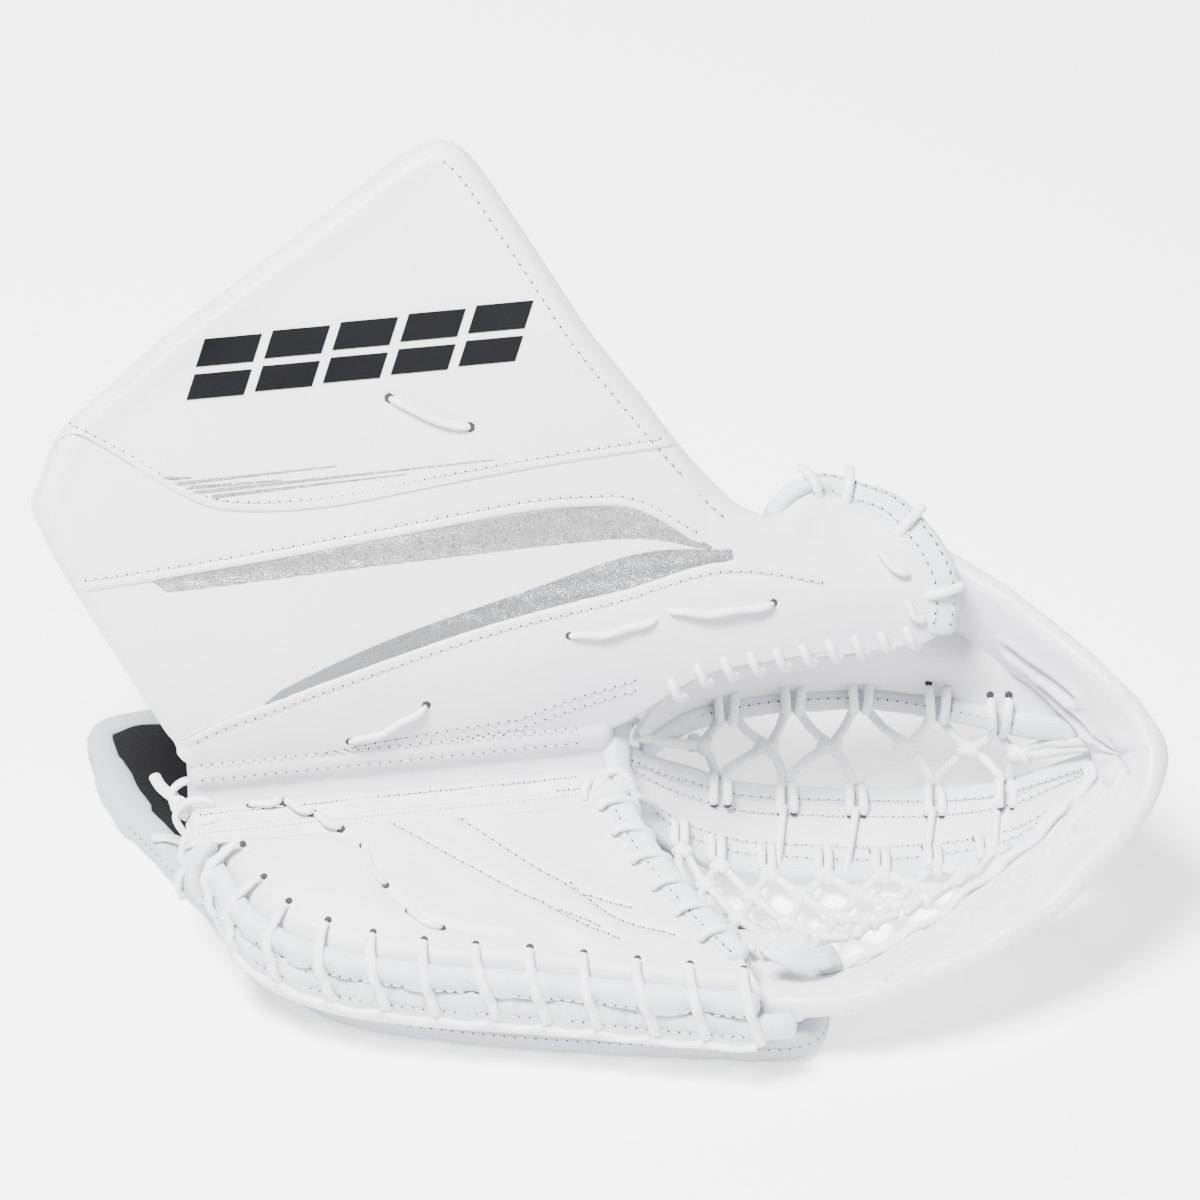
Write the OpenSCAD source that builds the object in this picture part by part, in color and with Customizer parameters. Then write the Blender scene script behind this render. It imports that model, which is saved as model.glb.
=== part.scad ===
/* [Leather and padding] */
// Thickness of the leather faces
leather = 1.8; // [1.2:0.1:2]
// Thickness of the linings
lining = 1.4; // [1:0.1:1.6]
// Thickness of the foam behind the cuff's face
cuff_padding = 7; // [5:0.5:8]
// Thickness of the stiff board inside the cuff
cuff_board_t = 2.4; // [1.5:0.1:2.6]
// Thickness of the foam under the palm
palm_padding = 4; // [2:0.5:5]
// Thickness of the core inside the perimeter bands
band_padding = 6; // [4:0.5:7]
// Clearance between neighbouring layers
gap = 0.1; // [0.1:0.05:0.2]

/* [Cuff and thumb] */
// Lean of the cuff at its foot, in degrees from the palm's direction
foot_lean = 92; // [88:1:96]
// Lean of the cuff's flat upper part, in degrees
head_lean = 55; // [50:1:60]
// Height along the face where the roll at the foot begins
foot = 12; // [8:1:16]
// Height along the face where the roll ends
shoulder = 78; // [70:1:90]
// How far the thumb curls back at 60 above its start
thumb_curl = 22; // [10:1:26]

/* [Palm and backhand] */
// Slope of the palm, in degrees
palm_slope = 8.5; // [6:0.5:10]
// Thickness of the backhand's foam
backhand_padding = 8.7; // [6:0.1:8.7]
// Outer radius of a finger stall
stall_r = 9; // [8:0.5:9.5]
// Wall of a finger stall
stall_wall = 1.2; // [1:0.1:1.5]

/* [Binding and lacing] */
// Half width of the woven edge binding
binding_half = 5.5; // [4:0.5:6]
// Diameter of the leather lace
lace_d = 4.6; // [3.5:0.1:5]
// Wraps of lace along the palm's edge
edge_wraps = 12; // [8:1:14]
// Columns of diamonds in the upper net
upper_columns = 5; // [4:1:6]
// Columns of diamonds in the lower net
lower_columns = 6; // [4:1:7]

/* [Wrist strap] */
// Width of the webbing
strap_width = 38; // [25:1:45]
// Thickness of the webbing
strap_t = 2; // [1.5:0.1:2.5]
// How far the strap bows out behind the cuff
strap_bow = 62; // [50:1:70]

/* [Hidden] */

white = "whitesmoke";
black = "#26262a";
silver = "silver";
lace_r = lace_d / 2;

// The two fold lines of the wrist break run side by side across the whole glove
UPPER_FOLD = [-169, -42, 62];
LOWER_FOLD = [-164, -59, 60];
FOLD = [395, 52, 8];
// Half the clearance left along each fold
fold_gap = 0.4;

// Outline of the cuff and thumb board in flat leather: x, and height s along the face
CUFF_FOOT = [[-238, 140], [-214, 85], [-184, 27], [-155, 7], [-117, 6], [-74, 6], [-31, 7],
             [6, 14], [42, 36], [89, 40], [146, 40]];
CUFF_HEAD = [[-233, 167], [-192, 194], [-148, 224], [-108, 256], [-68, 273], [-33, 230],
             [3, 177], [40, 131], [74, 106], [109, 106], [140, 88]];
// Seam between the cuff's lower and upper panels
PANEL_SEAM = [[-226, 163], [-199, 150], [-178, 136], [-155, 128], [-115, 126], [-64, 130],
              [-18, 134], [16, 128], [50, 104], [98, 90], [142, 76]];
// Rows of the two silver inlays on the lower panel, lower edge then upper edge
INLAY_A_LOW = [[-184, 92], [-115, 99], [-52, 101], [-20, 103], [8, 96]];
INLAY_A_TOP = [[-186, 97], [-115, 106], [-56, 110], [-5, 114], [22, 109]];
INLAY_B_LOW = [[-140, 46], [-115, 55], [-73, 65], [-18, 77], [25, 85]];
INLAY_B_TOP = [[-142, 50], [-86, 67], [-35, 82], [16, 94], [50, 92]];
// Plain slanted bars that decorate the upper panel
MARK_X = [-170, -104];
MARK_S = [176, 184];
MARK_SIZE = [54, 16];
MARK_SLANT = 8;

// Palm outline: x, and distance t from the lower fold
PALM_BACK = [[-165, 1], [-133, 1], [-99, 1], [-65, 1], [-31, 1], [0, 6], [16, 37], [37, 74],
             [57, 103]];
PALM_FRONT = [[-160, 20], [-142, 52], [-113, 72], [-76, 85], [-42, 93], [-9, 101], [20, 109],
              [45, 115], [64, 119]];

// Backhand pad outline on the table
BACKHAND = [[84, -138], [41, -139], [-43, -132], [-103, -120], [-130, -102], [-148, -83],
            [-171, -48], [-191, -19], [-209, 7], [-224, 42], [-224, 62], [-190, 70],
            [-110, 66], [-30, 50], [20, 18], [29, -22], [38, -60], [78, -84], [90, -110]];

// Edges of the T stem of the web
WEB_NEAR = [[14, -34, 50], [26, -32, 35], [38, -31, 24], [60, -29, 13], [87, -28, 9.5],
            [116, -29, 9], [142, -30, 12], [167, -33, 20], [182, -36, 29], [194, -36, 41]];
WEB_FAR = [[14, -12, 56], [26, -6, 44], [38, 1, 34], [60, 8, 20], [87, 13, 13],
           [116, 13, 12], [142, 9, 15], [167, 1, 24], [182, -7, 34], [194, -14, 46]];
// Edge of the throat, where the web meets the break
THROAT = [[9, -33, 58], [8, -26, 61], [9, -19, 62]];
// Strip of leather that hangs from the thumb, from its lower edge up
STRIP_LOW = [[22, 4, 54], [39, 24, 51], [59, 33, 50], [82, 37, 51], [118, 36, 53],
             [143, 27, 56], [163, 16, 60]];
STRIP_MID = [[24, 0, 70], [39, 8, 80], [59, 11, 85], [82, 13, 88], [118, 15, 88],
             [143, 14, 86], [163, 8, 80]];
STRIP_TOP = [[26, -8, 88], [42, -4, 98], [62, 0, 101], [84, 2, 102], [115, 5, 102],
             [138, 10, 100], [158, 8, 94]];

// Thumb half of the perimeter band, inner edge and rim
THUMB_IN = [[151, 26, 90], [160, 23, 87], [170, 17, 85], [180, 11, 82], [190, 4, 79]];
THUMB_RIM = [[139, 42, 138], [152, 30, 134], [171, 12, 129], [189, -6, 123], [205, -22, 116]];
// Finger half of the perimeter band, inner edge and rim
FINGER_IN = [[204, -38, 61], [195, -46, 54], [175, -61, 42], [153, -78, 34], [126, -96, 29],
             [101, -111, 27], [82, -121, 27]];
FINGER_RIM = [[230, -70, 90], [216, -89, 79], [198, -104, 69], [174, -121, 58],
              [148, -133, 48], [119, -141, 40], [92, -145, 35]];
// Tip of the pocket between the two halves
TIP_FAR = [[203, -21, 68], [214, -33, 84], [226, -46, 101]];
TIP_NEAR = [[208, -31, 64], [220, -44, 79], [234, -58, 95]];

function mix(a, b, t) = a + (b - a) * t;
function unit(v) = v / max(norm(v), 0.000001);
function ramp(from, to, x) =
  let (t = max(0, min(1, (x - from) / (to - from)))) t * t * (3 - 2 * t);
// Smooth curve through the points p, with u from 0 to 1
function along(p, u) =
  let (n = len(p) - 1, f = min(max(u, 0) * n, n - 0.000001), i = floor(f), t = f - i,
       b = p[i], c = p[i + 1],
       a = i > 0 ? p[i - 1] : 2 * b - c,
       d = i + 2 <= n ? p[i + 2] : 2 * c - b)
  0.5 * (2 * b + (c - a) * t + (2 * a - 5 * b + 4 * c - d) * t * t
         + (3 * b - a - 3 * c + d) * t * t * t);
function curve(p, n) = [for (k = [0:n]) along(p, k / n)];
// Closed smooth curve through p
function loop_curve(p, each_n) =
  let (m = len(p))
  [for (i = [0:m - 1], k = [0:each_n - 1])
    let (t = k / each_n, a = p[(i + m - 1) % m], b = p[i], c = p[(i + 1) % m],
         d = p[(i + 2) % m])
    0.5 * (2 * b + (c - a) * t + (2 * a - 5 * b + 4 * c - d) * t * t
           + (3 * b - a - 3 * c + d) * t * t * t)];
// Closed outline moved outward by d (inward when negative); p runs clockwise
function grown(p, d) =
  let (m = len(p))
  [for (i = [0:m - 1])
    let (e = unit(p[(i + 1) % m] - p[(i + m - 1) % m])) p[i] + d * [-e[1], e[0]]];

function fold_point(at, x) = at + FOLD * (x - at[0]) / FOLD[0];
roll_r = (shoulder - foot) * 180 / (PI * (foot_lean - head_lean));
function cuff_profile(s) =
  let (a = foot_lean - max(0, min(s, shoulder) - foot) * 180 / (PI * roll_r),
       low = min(s, foot), high = max(0, s - shoulder))
  [low * cos(foot_lean) + roll_r * (sin(foot_lean) - sin(a)) + high * cos(head_lean),
   low * sin(foot_lean) + roll_r * (cos(a) - cos(foot_lean)) + high * sin(head_lean)];
// Point of the cuff's face from its flat coordinates p = [x, s]
function cuff_point(p) =
  let (c = thumb_curl * ramp(20, 120, p[0]) * pow(max(0, p[1] - 60) / 60, 2),
       f = cuff_profile(p[1]))
  fold_point(UPPER_FOLD, p[0]) + [0, f[0] + 0.82 * c, f[1] - 0.57 * c];
function palm_point(p) =
  fold_point(LOWER_FOLD, p[0]) - p[1] * [0, cos(palm_slope), sin(palm_slope)];

// Grid of points through a list of rails, trimmed at its four sides
function grid(rails, nu, nv, u = [0, 1], v = [0, 1]) =
  [for (j = [0:nv])
    [for (i = [0:nu])
      along([for (r = rails) along(r, mix(u[0], u[1], i / nu))], mix(v[0], v[1], j / nv))]];
// Grid whose first and last rows are pulled in by d
function pulled_grid(low, high, nu, nv, d, u = [0, 1]) =
  [for (j = [0:nv])
    [for (i = [0:nu])
      let (a = along(low, mix(u[0], u[1], i / nu)), b = along(high, mix(u[0], u[1], i / nu)),
           e = unit(b - a) * d)
      mix(a + e, b - e, j / nv)]];
function on_cuff(g) = [for (row = g) [for (p = row) cuff_point(p)]];
function on_palm(g) = [for (row = g) [for (p = row) palm_point(p)]];
// Unit normal of a grid at column i of row j
function normal_at(g, i, j) =
  let (nu = len(g[0]) - 1, nv = len(g) - 1,
       du = g[j][min(i + 1, nu)] - g[j][max(i - 1, 0)],
       dv = g[min(j + 1, nv)][i] - g[max(j - 1, 0)][i])
  unit(cross(du, dv));
function lifted(g, d) =
  [for (j = [0:len(g) - 1]) [for (i = [0:len(g[0]) - 1]) g[j][i] + d * normal_at(g, i, j)]];

// Solid layer between two offsets of a grid along its normals
module layer(g, from, to) {
  w = len(g[0]);
  h = len(g);
  far = w * h;
  points = concat([for (row = lifted(g, to)) each row], [for (row = lifted(g, from)) each row]);
  rim = concat([for (i = [0:w - 2]) i], [for (j = [0:h - 2]) j * w + w - 1],
               [for (i = [w - 1:-1:1]) (h - 1) * w + i], [for (j = [h - 1:-1:1]) j * w]);
  faces = concat(
    [for (j = [0:h - 2], i = [0:w - 2]) let (a = j * w + i)
      each [[a, a + w, a + w + 1], [a, a + w + 1, a + 1]]],
    [for (j = [0:h - 2], i = [0:w - 2]) let (a = far + j * w + i)
      each [[a, a + w + 1, a + w], [a, a + 1, a + w + 1]]],
    [for (k = [0:len(rim) - 1]) let (p = rim[k], q = rim[(k + 1) % len(rim)])
      each [[far + p, p, q], [far + p, q, far + q]]]);
  polyhedron(points, faces);
}

// Solid with an oval section swept along a path; up gives the section's b direction
module sweep(path, a, b, up = [0, 0, 1], sides = 8) {
  n = len(path);
  points = [for (k = [0:n - 1])
    let (t = unit(path[min(k + 1, n - 1)] - path[max(k - 1, 0)]),
         w = is_list(up[0]) ? up[k] : up,
         s = unit(cross(t, w)), v = cross(s, t))
    for (i = [0:sides - 1]) path[k] + a * cos(360 * i / sides) * s + b * sin(360 * i / sides) * v];
  faces = concat(
    [for (k = [0:n - 2], i = [0:sides - 1])
      let (p = k * sides + i, q = k * sides + (i + 1) % sides)
      each [[p, q, q + sides], [p, q + sides, p + sides]]],
    [[for (i = [sides - 1:-1:0]) i], [for (i = [0:sides - 1]) (n - 1) * sides + i]]);
  polyhedron(points, faces);
}

module cord(path, r = lace_r, sides = 6, up = [0, 0, 1]) sweep(path, r, r, up, sides);

// Straight piece of cord with round ends
module strand(a, b, r = lace_r) {
  hull() {
    translate(a) sphere(r, $fn = 6);
    translate(b) sphere(r, $fn = 6);
  }
}

// A stitch of lace that humps over a face
module tack(a, b, n) {
  lift = unit(n) * lace_r;
  cord([a + 0.7 * lift, mix(a, b, 0.15) + 1.3 * lift, mix(a, b, 0.85) + 1.3 * lift,
        b + 0.7 * lift], 0.8 * lace_r, 6, n);
}

// ---------------------------------------------------------------- backhand
backhand_edge = loop_curve(BACKHAND, 3);
cover_top = 2.2;
foam_top = cover_top + gap + backhand_padding;
plate_top = foam_top + gap + 1.5;
liner_top = plate_top + gap + 1.5;

module backhand_sheet(from, to, inset) {
  translate([0, 0, from]) linear_extrude(to - from) polygon(grown(backhand_edge, -inset));
}
module backhand_cover() { color(white) backhand_sheet(0, cover_top, 0); }
module backhand_foam() { color("gainsboro") backhand_sheet(cover_top + gap, foam_top, 0); }
module backhand_plate() { color("dimgray") backhand_sheet(foam_top + gap, plate_top, 3); }
module backhand_liner() { color(black) backhand_sheet(plate_top + gap, liner_top, 1); }
module backhand_binding() {
  color(white) translate([0, 0, 0.6]) linear_extrude(liner_top - 0.6) difference() {
    polygon(grown(backhand_edge, binding_half));
    polygon(grown(backhand_edge, gap));
  }
}

// ---------------------------------------------------------------- palm
palm_grid = on_palm(pulled_grid(PALM_FRONT, PALM_BACK, 16, 5, 1, [0.01, 0.99]));
palm_low = leather + gap + palm_padding + gap + lining;
front_edge = [for (p = curve(PALM_FRONT, 30)) palm_point(p)];
back_edge = [for (p = curve(PALM_BACK, 24)) palm_point(p)];
// Height of the two edge bindings below the palm's face, and of the gusset below them
edge_drop = 6;
side_drop = 17;
side_gap = binding_half + 0.3;
function outward(path, k) =
  let (n = len(path), t = path[min(k + 1, n - 1)] - path[max(k - 1, 0)])
  unit([t[1], -t[0], 0]);
function moved_out(path, d, dz) =
  [for (k = [0:len(path) - 1]) path[k] + d * outward(path, k) + [0, 0, dz]];

module palm_leather() { color(white) layer(palm_grid, -leather, 0); }
module palm_foam() {
  color("gainsboro") layer(palm_grid, -leather - gap - palm_padding, -leather - gap);
}
module palm_liner() { color(black) layer(palm_grid, -palm_low, -palm_low + lining); }
module palm_edge_binding() {
  color(white) sweep(moved_out(front_edge, side_gap - 1, -edge_drop), 5, binding_half);
}
module side_edge_binding() {
  color(white) sweep(moved_out(front_edge, side_gap, -side_drop), 4.5, 5);
}
module side_gusset() {
  path = moved_out(front_edge, 2, 0);
  wall = [for (z = [liner_top + 0.4, 23]) [for (k = [0:len(path) - 1])
           [path[k][0], path[k][1], z]]];
  color(white) layer(wall, -leather, 0);
}
// Wraps of lace over both bindings, leaning towards the fingertips
module edge_lacing() {
  n = len(front_edge);
  color(white) for (w = [0:edge_wraps - 1]) {
    k = mix(0.03, 0.95, w / (edge_wraps - 1)) * (n - 1);
    i = floor(k);
    p = mix(front_edge[i], front_edge[i + 1], k - i);
    o = outward(front_edge, i);
    t = [-o[1], o[0], 0];
    reach = side_gap + binding_half + lace_r + 0.7;
    cord([p - 6 * o + [0, 0, 3.4], p + [0, 0, 3.8] + t, p + (reach - 3) * o + [0, 0, 1.5] + 3 * t,
          p + reach * o - [0, 0, edge_drop] + 5 * t, p + reach * o - [0, 0, side_drop] + 8 * t,
          p + (reach - 4) * o - [0, 0, side_drop + 7.5] + 10 * t]);
  }
}
module pocket_binding() {
  path = [for (k = [15:24]) back_edge[k]];
  color(white) sweep(moved_out([for (k = [len(path) - 1:-1:0]) path[k]], 3.6, -3), 3.2, 6);
}
module palm_tacks() {
  color(white) {
    tack([-145, -66, 58.8], [-131, -69, 58.8], [0, -0.15, 1]);
    tack([-97, -85, 57.4], [-88, -103, 55], [0, -0.15, 1]);
    tack([-80, -113, 53.7], [-66, -120, 52.9], [0, -0.15, 1]);
  }
}
module heel_lacing() {
  color(white) {
    cord(curve([[-172, -66, 62], [-180, -70, 55], [-181, -72, 44], [-176, -70, 34]], 8));
    cord(curve([[-174, -56, 64], [-183, -58, 58], [-186, -58, 46], [-182, -56, 36]], 8));
    cord(curve([[-181, -64, 30], [-186, -62, 22], [-192, -58, 18.5], [-198, -48, 17.5]], 8));
  }
}

// Hollow stall that opens towards the wrist
module stall(from, to, r, wall) {
  d = to - from;
  translate(from) rotate([0, acos(d[2] / norm(d)), atan2(d[1], d[0])]) difference() {
    union() {
      cylinder(norm(d), r, r, $fn = 24);
      translate([0, 0, norm(d)]) sphere(r, $fn = 24);
    }
    translate([0, 0, -1]) cylinder(norm(d) + 1, r - wall, r - wall, $fn = 24);
    translate([0, 0, norm(d)]) sphere(r - wall, $fn = 24);
  }
}
module index_stall() { color(black) stall([-50, -60, 33], [6, -62, 31], stall_r, stall_wall); }
module middle_stall() { color(black) stall([-50, -80, 31], [20, -83, 28.5], stall_r, stall_wall); }
module ring_stall() { color(black) stall([-50, -99, 28.5], [34, -104, 26.5], stall_r, stall_wall); }
module little_stall() {
  color(black) stall([-46, -117.5, 26], [40, -124, 25], stall_r - 0.8, stall_wall);
}

// ---------------------------------------------------------------- perimeter bands
band_low = leather + gap + band_padding + gap + lining;
finger_band = grid([FINGER_IN, mix(FINGER_IN, FINGER_RIM, 0.5), FINGER_RIM], 16, 4);
thumb_band = grid([THUMB_IN, THUMB_RIM], 8, 4);

module band_part(g, part) {
  if (part == 0) layer(g, -leather, 0);
  if (part == 1) layer(g, -leather - gap - band_padding, -leather - gap);
  if (part == 2) layer(g, -band_low, -band_low + lining);
}
module finger_band_leather() { color(white) band_part(finger_band, 0); }
module finger_band_core() { color("gainsboro") band_part(finger_band, 1); }
module finger_band_backing() { color(white) band_part(finger_band, 2); }
// Doubled lace along the finger band's inner edge
module finger_band_lacing() {
  path = curve(FINGER_IN, 18);
  color(white) for (d = [4, 10]) {
    cord([for (k = [2:15]) path[k] + [0.25 * d, -0.6 * d, 3.4 + 0.42 * d]], 0.8 * lace_r);
  }
}
module finger_tip_loop() {
  color(white) sweep(curve([[74, -124, 44], [82, -126, 42], [92, -123, 40], [97, -118, 38]], 8),
                     2.2, 5);
}
module thumb_band_leather() { color(white) band_part(thumb_band, 0); }
module thumb_band_core() { color("gainsboro") band_part(thumb_band, 1); }
module thumb_band_backing() { color(white) band_part(thumb_band, 2); }

// ---------------------------------------------------------------- web
web_grid = grid([WEB_NEAR, WEB_FAR], 18, 3);
web_t = leather + gap + lining + gap + lining;
module web_leather() { color(white) layer(web_grid, -leather, 0); }
module web_stiffener() {
  color("dimgray") layer(web_grid, -leather - gap - lining, -leather - gap);
}
module web_backing() { color(white) layer(web_grid, -web_t, -web_t + lining); }
// Binding outside one edge of the stem; side is 1 on the far edge
module web_edge(rail, other, side) {
  n = 24;
  edge = curve(rail, n);
  inner = curve(other, n);
  out = [for (k = [0:n]) unit(edge[k] - inner[k])];
  up = [for (k = [0:n])
    let (t = edge[min(k + 1, n)] - edge[max(k - 1, 0)]) side * unit(cross(t, out[k]))];
  path = [for (k = [0:n]) edge[k] + 3.6 * out[k] - 0.5 * web_t * up[k]];
  color(white) sweep(path, 3, 4, up);
}
module web_binding_upper() { web_edge(WEB_FAR, WEB_NEAR, 1); }
module web_binding_lower() { web_edge(WEB_NEAR, WEB_FAR, -1); }
// Ties of lace across the stem, each from its near end to its far end
TIES = [[[108, -14, 12.5], [108, -2, 14]], [[136, -14, 14.5], [136, -2, 16]],
        [[163, -14, 22], [163, -2, 25.5]]];
module web_ties() { color(white) for (t = TIES) tack(t[0], t[1], [0, -0.2, 1]); }
module break_strip() {
  low = [for (x = [-158, -100, -50, 3]) fold_point(LOWER_FOLD, x) + [0, fold_gap, 0]];
  high = [for (x = [-158, -100, -50, 3]) fold_point(UPPER_FOLD, x) - [0, fold_gap, 0]];
  color(white) layer(grid([low, high], 12, 3), -leather - 1, 0);
}
module throat_binding() { color(white) sweep(curve(THROAT, 6), 3, 4, [1, 0, 0.4]); }
module tip_gusset() { color(white) layer(grid([TIP_NEAR, TIP_FAR], 6, 2), -6, 0); }

// Diamond net between two rails: knots on alternate rows
module net(low, high, columns, rows, trim) {
  // Point at column c of row r
  function knot(c, r) =
    let (u = mix(trim[0], trim[1], c / columns), v = mix(trim[2], trim[3], r / rows))
    mix(along(low, u), along(high, u), v) - [0, 0, 3 * sin(180 * v)];
  color(white) for (r = [0:rows - 1], c = [0:columns - 1]) {
    odd = r % 2;
    strand(knot(c + (odd ? 0 : 0.5), r), knot(c + (odd ? 0.5 : 0), r + 1), 0.9 * lace_r);
    strand(knot(c + (odd ? 1 : 0.5), r), knot(c + (odd ? 0.5 : 1), r + 1), 0.9 * lace_r);
  }
}
// How far the nets stay clear of the stem's bindings
net_clear = [0, 9, 0];
// Share of its rails that each net covers: along them from and to, across them from and to
UPPER_TRIM = [0.22, 0.9, 0.1, 0.7];
LOWER_TRIM = [0.12, 0.9, 0.06, 0.9];
// Line that the lower net hangs from, inside the palm's pocket edge and the finger band
NET_OUTER = [[20, -66, 50], [34, -92, 44], [52, -114, 38], [76, -116, 30], [98, -106, 28],
             [122, -91, 29], [148, -74, 33], [170, -58, 41], [187, -47, 50]];
module upper_net() {
  net([for (p = WEB_FAR) p + net_clear], STRIP_LOW, upper_columns, 2, UPPER_TRIM);
}
module lower_net() {
  net([for (p = WEB_NEAR) p - net_clear], NET_OUTER, lower_columns, 3, LOWER_TRIM);
}

// ---------------------------------------------------------------- cuff and thumb
// Room for the difference in facets between the panels and the padding behind them
facet_room = 0.6;
cuff_low = leather + facet_room + cuff_padding + gap + cuff_board_t + gap + lining;
// How far the padding stops inside the cuff's outline
edge_pull = 9;
lower_panel = on_cuff(pulled_grid(CUFF_FOOT, PANEL_SEAM, 26, 6, 1.5, [0.012, 0.975]));
upper_panel = on_cuff(pulled_grid(PANEL_SEAM, CUFF_HEAD, 26, 4, 1.5, [0.012, 0.975]));
inner_panel = on_cuff(pulled_grid(CUFF_FOOT, CUFF_HEAD, 26, 8, edge_pull, [0.05, 0.96]));

module cuff_lower_leather() { color(white) layer(lower_panel, -leather, 0); }
module cuff_upper_leather() { color(white) layer(upper_panel, -leather, 0); }
module cuff_foam() {
  top = -leather - facet_room;
  color("gainsboro") layer(inner_panel, top - cuff_padding, top);
}
module cuff_board() {
  low = -cuff_low + lining + gap;
  color("dimgray") layer(inner_panel, low, low + cuff_board_t);
}
module cuff_liner() { color(black) layer(inner_panel, -cuff_low, -cuff_low + lining); }
// Rolled edge behind the leather's rim, round the cuff's left corner, head and right side
module cuff_edge_piping() {
  n = 40;
  rim = concat([for (u = [0.045, 0.02, 0]) along(CUFF_FOOT, u)],
               [for (k = [0:n]) along(CUFF_HEAD, 0.76 * k / n)]);
  path = [for (p = rim) cuff_point(p) + 6.6 * behind(p)];
  color(white) sweep(path, 3, 3.6, [for (p = rim) behind(p)]);
}
// Unit vector from the cuff's face to its rear at flat point p
function behind(p) =
  let (f = cuff_profile(p[1] + 1) - cuff_profile(p[1] - 1)) unit([0, f[1], -f[0]]);

module inlay(low, high) { color(silver) layer(on_cuff(grid([low, high], 20, 2)), 0.4, 1.1); }
module silver_inlay_upper() { inlay(INLAY_A_LOW, INLAY_A_TOP); }
module silver_inlay_lower() { inlay(INLAY_B_LOW, INLAY_B_TOP); }
// Two parallel slanted bars
module cuff_mark() {
  color(black) for (k = [0, 1]) {
    x = MARK_X[k];
    s = MARK_S[k];
    low = [[x, s - MARK_SIZE[1] / 2], [x + MARK_SIZE[0], s - MARK_SIZE[1] / 2]];
    high = [[x + MARK_SLANT, s + MARK_SIZE[1] / 2],
            [x + MARK_SIZE[0] + MARK_SLANT, s + MARK_SIZE[1] / 2]];
    layer(on_cuff(grid([low, high], 6, 2)), 0.2, 0.8);
  }
}
module cuff_lace() {
  color(white) tack(cuff_point([-89, 167]), cuff_point([-58, 153]), [0, -0.82, 0.57]);
}
module thumb_tacks() {
  color(white) {
    tack(cuff_point([-108, 24]), cuff_point([-75, 36]), [0, -1, 0.1]);
    tack(cuff_point([-14, 61]), cuff_point([21, 64]), [0, -0.95, 0.3]);
    tack(cuff_point([27, 68]), cuff_point([70, 67]), [0, -0.9, 0.4]);
  }
}
// Binding round the thumb's end, in front of the board's edge
module thumb_binding() {
  rim = [[112, 108], [132, 99], [148, 82], [156, 62], [153, 44]];
  color(white) sweep([for (p = curve(rim, 14)) cuff_point(p) + 3.5 * behind(p)], 3, 6,
                     [for (p = curve(rim, 14)) behind(p)]);
}
// Stall for the thumb behind the board
module thumb_stall() {
  color(black) stall([40, 30, 100], [104, 43, 118], 14, 1.4);
}
// Spiral of lace along the thumb's lower edge
module thumb_edge_lacing() {
  color(white) for (k = [0:8]) {
    x = 34 + 12 * k;
    s = x < 45 ? 35 : 37.5;
    a = cuff_point([x, s]);
    cord([a + [-2, -3.2, 5], a + [0, -4, 0], a + [3, -2.5, -5.5], a + [5, 1.5, -7]],
         0.8 * lace_r);
  }
}
module thumb_strip_leather() {
  color(white) layer(grid([STRIP_LOW, STRIP_MID, STRIP_TOP], 14, 5), -leather, 0);
}
module thumb_strip_binding() {
  color(white) sweep([for (p = curve(STRIP_LOW, 18)) p + [0, -2.2, -4.4]], 3.4, 4);
}

// ---------------------------------------------------------------- wrist strap
strap_x = -171;
strap_top = cuff_point([strap_x, 128]) + (cuff_low + 3.2) * behind([strap_x, 128]);
strap_foot = cuff_point([strap_x, 44]) + (cuff_low + 3.6) * behind([strap_x, 44]);
// The strap's side view: a bow between its two ends
function strap_line(n, lift) =
  let (chord = strap_foot - strap_top, out = unit([0, -chord[2], chord[1]]))
  [for (k = [0:n]) let (t = k / n)
    strap_top + t * chord + (strap_bow * pow(sin(180 * t), 0.7) + lift) * out];
module strap_slab(from, to, n, lift, t) {
  line = strap_line(n, 0);
  half = strap_width / 2 * unit(FOLD);
  rows = [for (side = [1, -1]) [for (k = [from:to]) line[k] + side * half]];
  layer(rows, lift, lift + t);
}
module wrist_strap_webbing() { color(black) strap_slab(0, 24, 24, 0, strap_t); }
module strap_hook_patch() { color("dimgray") strap_slab(22, 24, 24, -1.2, 1.1); }
module strap_loop_patch() {
  band = [for (s = [36, 44, 54]) [for (x = [strap_x - 17, strap_x + 17]) [x, s]]];
  color("dimgray") layer(on_cuff(band), -cuff_low - 2, -cuff_low - 0.8);
}

backhand_cover();
backhand_foam();
backhand_plate();
backhand_liner();
backhand_binding();
side_gusset();
palm_leather();
palm_foam();
palm_liner();
palm_edge_binding();
side_edge_binding();
edge_lacing();
pocket_binding();
palm_tacks();
heel_lacing();
index_stall();
middle_stall();
ring_stall();
little_stall();
finger_band_leather();
finger_band_core();
finger_band_backing();
finger_band_lacing();
finger_tip_loop();
lower_net();
break_strip();
throat_binding();
web_leather();
web_stiffener();
web_backing();
web_binding_upper();
web_binding_lower();
web_ties();
tip_gusset();
cuff_lower_leather();
cuff_upper_leather();
cuff_foam();
cuff_board();
cuff_liner();
cuff_edge_piping();
silver_inlay_upper();
silver_inlay_lower();
cuff_mark();
cuff_lace();
thumb_binding();
thumb_stall();
thumb_tacks();
thumb_edge_lacing();
thumb_strip_leather();
thumb_strip_binding();
upper_net();
thumb_band_leather();
thumb_band_core();
thumb_band_backing();
strap_loop_patch();
wrist_strap_webbing();
strap_hook_patch();
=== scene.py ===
"""A goalie catch glove: leather cuff and thumb board, laced palm, bands and netted pocket."""
import math

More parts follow.
